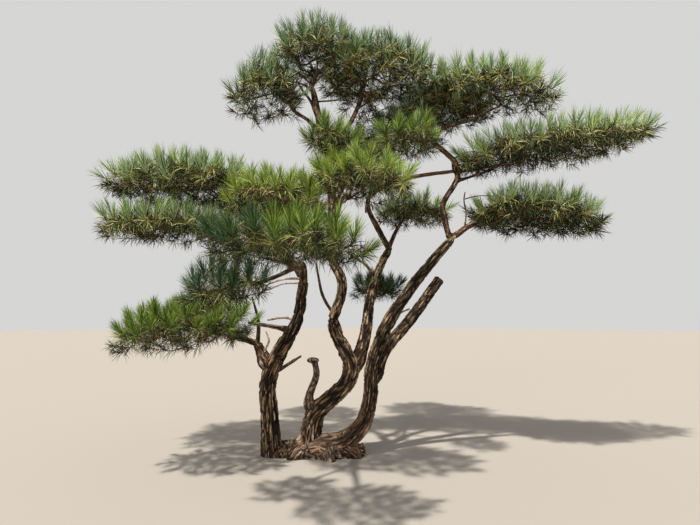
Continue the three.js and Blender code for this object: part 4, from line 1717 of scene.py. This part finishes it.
    def grow(self) -> Shoots:
        """Grow the twigs: each starts on the stem or on a shoot that is there, whichever is the best way.

        Returns:
            The shoots that keep clear of the limbs.
        """
        rule, stem = self.rule, self.stem
        rings = max(3, round(stem.curve.length / MM / rule.ring))
        shares = np.arange(1, rings) / rings
        wanted = self.shoot_places()
        start = stem.curve.at(0.0)[0]
        places = np.zeros((len(wanted.heart) + len(shares), 3))
        ways = np.zeros(len(places))
        places[:len(shares)] = stem.curve.at(shares)
        ways[:len(shares)] = shares * stem.curve.length
        used = len(shares)
        kept: list[int] = []
        parents: list[int] = []
        for k in np.argsort(np.linalg.norm(wanted.heart - start, axis=1), kind="stable"):
            apart = np.linalg.norm(places[:used] - wanted.heart[k], axis=1)
            best = int(np.argmin(apart + rule.detour * ways[:used]))
            if not self.clear_of_limbs(wanted.heart[k], places[best]):
                continue
            kept.append(k)
            parents.append(best)
            places[used] = wanted.heart[k]
            ways[used] = ways[best] + apart[best]
            used += 1
        shoots = wanted.only(np.array(kept))
        shoots.foot = places[parents]
        for i in range(len(kept) - 1, -1, -1):
            if parents[i] >= len(shares):
                shoots.load[parents[i] - len(shares)] += shoots.load[i]
        return shoots

    def twigs(self, shoots: Shoots) -> bpy.types.Object:
        """The mass's stem and all its twigs, as one piece."""
        foot = self.rule.twig * MM * shoots.load ** self.rule.carries
        taper = np.outer(foot, TWIG_TAPER)
        left, most, tip = CANDLE_THICK
        ends = np.stack([np.minimum(foot * left, most), np.full(len(foot), tip)], axis=1)
        places, triangles, faces = tubes(shoots.paths(), np.hstack([taper, ends]), sides=4)
        shares = np.linspace(0, 1, 28)
        stem_places, stem_triangles, stem_faces = tubes(
            self.stem.curve.at(shares)[None], self.stem.radius(shares)[None], sides=10)
        dealt = np.repeat(self.dice.choice(BUD, size=len(foot), p=TWIG_SHARES), faces).reshape(-1, faces)
        # The last fifth of a twig's triangles is its bud
        dealt[:, -(faces // 5):] = BUD
        tones = np.concatenate([dealt.ravel(), np.zeros(stem_faces, int)])
        joined = np.vstack([triangles, stem_triangles + len(places)])
        piece = mesh_piece(f"{self.shape.name}_twigs", np.vstack([places, stem_places]), joined, tones)
        for finish in self.finishes.twigs:
            piece.data.materials.append(finish)
        select_only(piece)
        bpy.ops.object.shade_smooth()
        return piece

    def needles(self, shoots: Shoots) -> bpy.types.Object:
        """All the mass's needles as one piece, with a tone for each spray."""
        shaded = shoots.heart[:, 0] < self.shape.shaded_to * MM
        # Older needles on the rim take paler tones, painted light; those in from it and under the sheet take
        # darker ones, painted shade
        rim = shoots.spread > self.rule.rim - self.rule.slope * self.shape.rise * MM
        blades: list[tuple[Array, Array]] = []
        for look, own in ((self.shape.dress.value, ~shaded), (Dress.SHADE.value, shaded)):
            for kind, tones, bearing in (
                    (look.needles.new, look.new, shoots.stands),
                    (look.needles.older, look.older, shoots.stands & rim),
                    (look.needles.older, OLDER_IN_SHADE, shoots.stands & ~rim),
                    (look.needles.inside, INSIDE_OLD_AND_SHADED, ~shoots.stands)):
                chosen = own & bearing
                if chosen.any():
                    blades.append(self.blades(shoots.only(chosen), kind, tones))
        places = np.vstack([part for part, _ in blades])
        dealt = np.concatenate([tone for _, tone in blades])
        first = np.arange(len(dealt))[:, None, None] * 5
        triangles = first + np.array([[0, 1, 3], [0, 3, 2], [2, 3, 4]])
        name = f"{self.shape.name}_needles"
        piece = mesh_piece(name, places, triangles.reshape(-1, 3), np.repeat(dealt, 3))
        for finish in self.finishes.needles:
            piece.data.materials.append(finish)
        return piece

    def blades(self, shoots: Shoots, kind: Needles, weights: dict[Tone, float]) -> tuple[Array, Array]:
        """The needles of one age on every shoot.

        Args:
            shoots: the shoots.
            kind: the needles.
            weights: how often each tone falls on a spray of them.

        Returns:
            Five places for each needle, and each needle's tone.
        """
        count = len(shoots.heart) * kind.count
        owner = np.repeat(np.arange(len(shoots.heart)), kind.count)
        dice = self.dice
        back = dice.random(count)
        low, high = (edge * MM for edge in kind.stand)
        long = np.linalg.norm(shoots.heart - shoots.foot, axis=1)[owner]
        furthest = np.maximum(low, -kind.behind * long)
        feet, way = self.along_twig(shoots, owner, high - (high - furthest) * back)
        one, two = across_of(way)
        turn = dice.random(count) * 2 * math.pi
        front_lean, back_lean = kind.lean
        lean = front_lean + (back_lean - front_lean) * back + kind.scatter * dice.normal(size=count)
        lean = np.radians(lean)
        round_way = one * np.cos(turn)[:, None] + two * np.sin(turn)[:, None]
        out = way * np.cos(lean)[:, None] + round_way * np.sin(lean)[:, None]
        length = dice.uniform(*kind.length, size=count)[:, None] * MM
        fall = -UP * length * (kind.droop * (0.4 + 0.8 * dice.random(count)))[:, None]
        side = unit(np.cross(out, dice.normal(size=out.shape))) * kind.width / 2 * MM
        middle = feet + out * length * kind.waist + fall * kind.waist_fall
        tip = feet + unit(out * length + fall) * length
        waist = side * kind.waist_width
        places = np.stack([feet - side, feet + side, middle - waist, middle + waist, tip], axis=1)
        sprays = owner * math.ceil(kind.count / kind.spray)
        sprays += np.tile(np.arange(kind.count) // kind.spray, len(shoots.heart))
        shares = np.array(list(weights.values()))
        names = np.array([tone.value for tone in weights])
        dealt = names[dice.choice(len(names), size=sprays.max() + 1, p=shares / shares.sum())]
        return places.reshape(-1, 3), dealt[sprays]

    @staticmethod
    def along_twig(shoots: Shoots, owner: Array, past: Array) -> tuple[Array, Array]:
        """Places on the twigs and the way that each runs there.

        Args:
            shoots: the shoots.
            owner: the shoot's number for each place.
            past: how far past the shoot's heart it lies, or behind it where below 0.

        Returns:
            The places and the ways.
        """
        paths = shoots.paths()[owner]
        rows = np.arange(len(owner))
        hearts = paths[:, 3]
        shortest, last = 1e-3, 2.999
        long = np.linalg.norm(hearts - paths[:, 0], axis=1)
        span = np.clip((1 + past / np.maximum(long, shortest)) * 3, 0, last)
        first = span.astype(int)
        here, after = paths[rows, first], paths[rows, first + 1]
        ahead = (past > 0)[:, None]
        aim = shoots.aim[owner]
        behind = here + (after - here) * (span - first)[:, None]
        feet = np.where(ahead, hearts + aim * past[:, None], behind)
        return feet, np.where(ahead, aim, unit(after - here))

    def build(self) -> None:
        """Grow the mass and seat its twigs and needles."""
        shoots = self.grow()
        seat(self.twigs(shoots), [self.shape.name])
        seat(self.needles(shoots), [self.shape.name])


@dataclass
class Finishes:
    """The materials of the masses.

    Attributes:
        needles: those of the needles, in the order of Tone.
        twigs: those of the twigs, with the bud's last.
    """

    needles: list[bpy.types.Material] = field(default_factory=lambda: [
        NEEDLE_FINISHES[tone].material() for tone in Tone])
    twigs: list[bpy.types.Material] = field(default_factory=lambda: [
        finish.material() for finish in TWIG_FINISHES])


def across_of(way: Array) -> tuple[Array, Array]:
    """Two directions across each row."""
    nearly_up = 0.9
    help_way = np.where(np.abs(way[:, 2:]) < nearly_up, UP, np.array([1.0, 0.0, 0.0]))
    one = unit(np.cross(way, help_way))
    return one, np.cross(way, one)


def tubes(paths: Array, radii: Array, sides: int) -> tuple[Array, Array, int]:
    """Closed thin tubes along many paths at once.

    Args:
        paths: tubes, places along each, coordinates.
        radii: the radius at each place of each tube.
        sides: sides of a tube.

    Returns:
        Vertices, triangles, and how many triangles a tube has.
    """
    count, rings = radii.shape
    way = unit(np.gradient(paths, axis=1))
    whole = unit(paths[:, -1] - paths[:, 0])
    one, _ = across_of(whole)
    flat = unit(one[:, None, :] - way * np.sum(one[:, None, :] * way, axis=2, keepdims=True))
    other = np.cross(way, flat)
    turn = np.arange(sides) * 2 * math.pi / sides
    around = (flat[:, :, None, :] * np.cos(turn)[None, None, :, None]
              + other[:, :, None, :] * np.sin(turn)[None, None, :, None])
    skin = paths[:, :, None, :] + around * radii[:, :, None, None]
    ends = paths[:, [0, -1]]
    places = np.concatenate([skin.reshape(count, rings * sides, 3), ends], axis=1)
    faces: list[tuple[int, int, int]] = []
    for ring in range(rings - 1):
        for side in range(sides):
            a, b = ring * sides + side, ring * sides + (side + 1) % sides
            faces += [(a, b, b + sides), (a, b + sides, a + sides)]
    foot, tip = rings * sides, rings * sides + 1
    for side in range(sides):
        after = (side + 1) % sides
        faces += [(foot, after, side), (tip, (rings - 1) * sides + side, (rings - 1) * sides + after)]
    per_tube = rings * sides + 2
    triangles = np.array(faces)[None] + (np.arange(count) * per_tube)[:, None, None]
    return places.reshape(-1, 3), triangles.reshape(-1, 3), len(faces)


def slim_limbs(name: str, limbs: list[Limb], finish: SlimFinish) -> None:
    """Make bare twigs as one piece.

    Args:
        name: the piece's name.
        limbs: the twigs.
        finish: their surface.
    """
    shares = np.linspace(0, 1, 16)
    paths = np.stack([limb.curve.at(shares) for limb in limbs])
    knob, knob_width = 0.22, 0.05
    knobs = 1 + knob * np.stack([lumps(path, knob_width, salt=71, octaves=2) for path in paths])
    radii = np.stack([limb.radius(shares) for limb in limbs]) * knobs
    places, triangles, faces = tubes(paths, radii, sides=8)
    piece = mesh_piece(name, places, triangles, np.zeros(len(limbs) * faces, int))
    piece.data.materials.append(finish.material())
    select_only(piece)
    bpy.ops.object.shade_smooth()
    seat(piece, [])


# Studio


@dataclass(frozen=True)
class Studio:
    """The floor, the light and the camera.

    Attributes:
        eye: where the camera stands, in metres.
        pitch: how far it looks up, in degrees.
        lens: its focal length, in millimetres.
        sensor: the width of its sensor, in millimetres.
        sees: how far it sees, in metres.
        floor: the floor's finish.
        floor_radius: how far the floor reaches, in metres.
        sky: the colour of the light from all round, and its strength.
        sunlight: the colour of the lamps.
        suns: for each lamp, the direction that its light comes from, its strength and its width in degrees.
    """

    eye: tuple[float, float, float] = (0.233, -4.5, 1.17)
    pitch: float = 5.6
    lens: float = 27.0
    sensor: float = 36.0
    sees: float = 200.0
    floor: PlainFinish = PlainFinish("floor", (0.29, 0.265, 0.235), 0.95, 0.1)
    floor_radius: float = 40.0
    sky: tuple[Colour, float] = ((0.91, 0.905, 0.90), 0.74)
    sunlight: Colour = (1.0, 0.96, 0.89)
    suns: tuple[tuple[tuple[float, float, float], float, float], ...] = (
        ((-0.28, -0.38, 1.0), 6.4, 2.0),
        ((-0.45, -1.0, 0.28), 0.8, 25.0),
    )

    def build(self) -> None:
        """Set up the studio."""
        self.set_camera()
        self.lay_floor()
        self.hang_lamps()
        self.light_sky()

    def set_camera(self) -> None:
        """Put the camera where the photograph was taken from."""
        camera = bpy.data.objects.new("camera", bpy.data.cameras.new("camera"))
        bpy.context.scene.collection.objects.link(camera)
        camera.location = self.eye
        camera.rotation_euler = (math.radians(90 + self.pitch), 0, 0)
        camera.data.lens = self.lens
        camera.data.sensor_width = self.sensor
        camera.data.clip_end = self.sees
        bpy.context.scene.camera = camera

    def lay_floor(self) -> None:
        """Lay the floor at ground level."""
        deselect()
        bpy.ops.mesh.primitive_circle_add(
            vertices=96, radius=self.floor_radius, fill_type="NGON", location=(0, 0, 0))
        ground = bpy.context.object
        ground.name = "floor"
        ground.data.materials.append(self.floor.material())

    def hang_lamps(self) -> None:
        """Turn each lamp so that its light comes from its direction."""
        for (x, y, z), strength, width in self.suns:
            lamp = bpy.data.objects.new("sun", bpy.data.lights.new("sun", "SUN"))
            bpy.context.scene.collection.objects.link(lamp)
            lamp.data.energy = strength
            lamp.data.angle = math.radians(width)
            lamp.data.color = self.sunlight
            lamp.rotation_euler = (math.atan2(math.hypot(x, y), z), 0, math.atan2(y, x) + math.pi / 2)

    def light_sky(self) -> None:
        """Light the tree from all round, with colours shown as they are."""
        world = bpy.data.worlds.new("sky")
        bpy.context.scene.world = world
        world.use_nodes = True
        background = world.node_tree.nodes["Background"]
        colour, glow = self.sky
        background.inputs["Color"].default_value = (*colour, 1.0)
        background.inputs["Strength"].default_value = glow
        bpy.context.scene.view_settings.view_transform = "Standard"


def build_timber(limbs: dict[str, Limb]) -> None:
    """Make and seat the three bark meshes: old stems, young limbs and dead wood.

    Args:
        limbs: every limb by its name.
    """
    bark = BarkFinish("bark").material()
    dead = BarkFinish("dead_wood", old=DEAD_SHADES).material()

    crown = RootCrown()
    stems = [limbs[shape.name] for shape in ROOTED]
    old = Timber("old_timber", stems + crown.spurs(), Bark.OLD, voxel=0.0066, stretch=6.0)
    piece = old.build([ball(crown.middle, crown.half)])
    piece.data.materials.append(bark)
    seat(piece, ["root_crown"] + [shape.name for shape in ROOTED])

    young = Timber("young_timber", [limbs[shape.name] for shape in GROWN + FORKS], Bark.YOUNG, voxel=0.0085)
    piece = young.build([ball(*BURL)])
    piece.data.materials.append(bark)
    seat(piece, [shape.name for shape in GROWN])

    bare = Timber("dead_wood", [limbs[shape.name] for shape in DEAD], Bark.DEAD, voxel=0.005)
    piece = bare.build([ball(*STUB_HEAD)])
    piece.data.materials.append(dead)
    seat(piece, [shape.name for shape in DEAD])


def main() -> None:
    """Build the studio and the tree, and write down how large it is."""
    logging.basicConfig(level=logging.INFO, format="%(name)s: %(message)s")
    Studio().build()
    limbs = work_out_limbs()
    build_timber(limbs)
    for name, shapes, finish in (
            ("bare_dark_twigs", BARE_DARK, SLIM_DARK),
            ("bare_red_twigs", BARE_RED, SLIM_RED),
            ("bare_pale_twigs", BARE_PALE, SLIM_PALE)):
        slim_limbs(name, [limbs[shape.name] for shape in shapes], finish)
    finishes = Finishes()
    for seed, shape in enumerate(MASSES, start=1):
        Mass(shape, seed, limbs[shape.on], limbs, finishes).build()


if __name__ == "__main__":
    main()
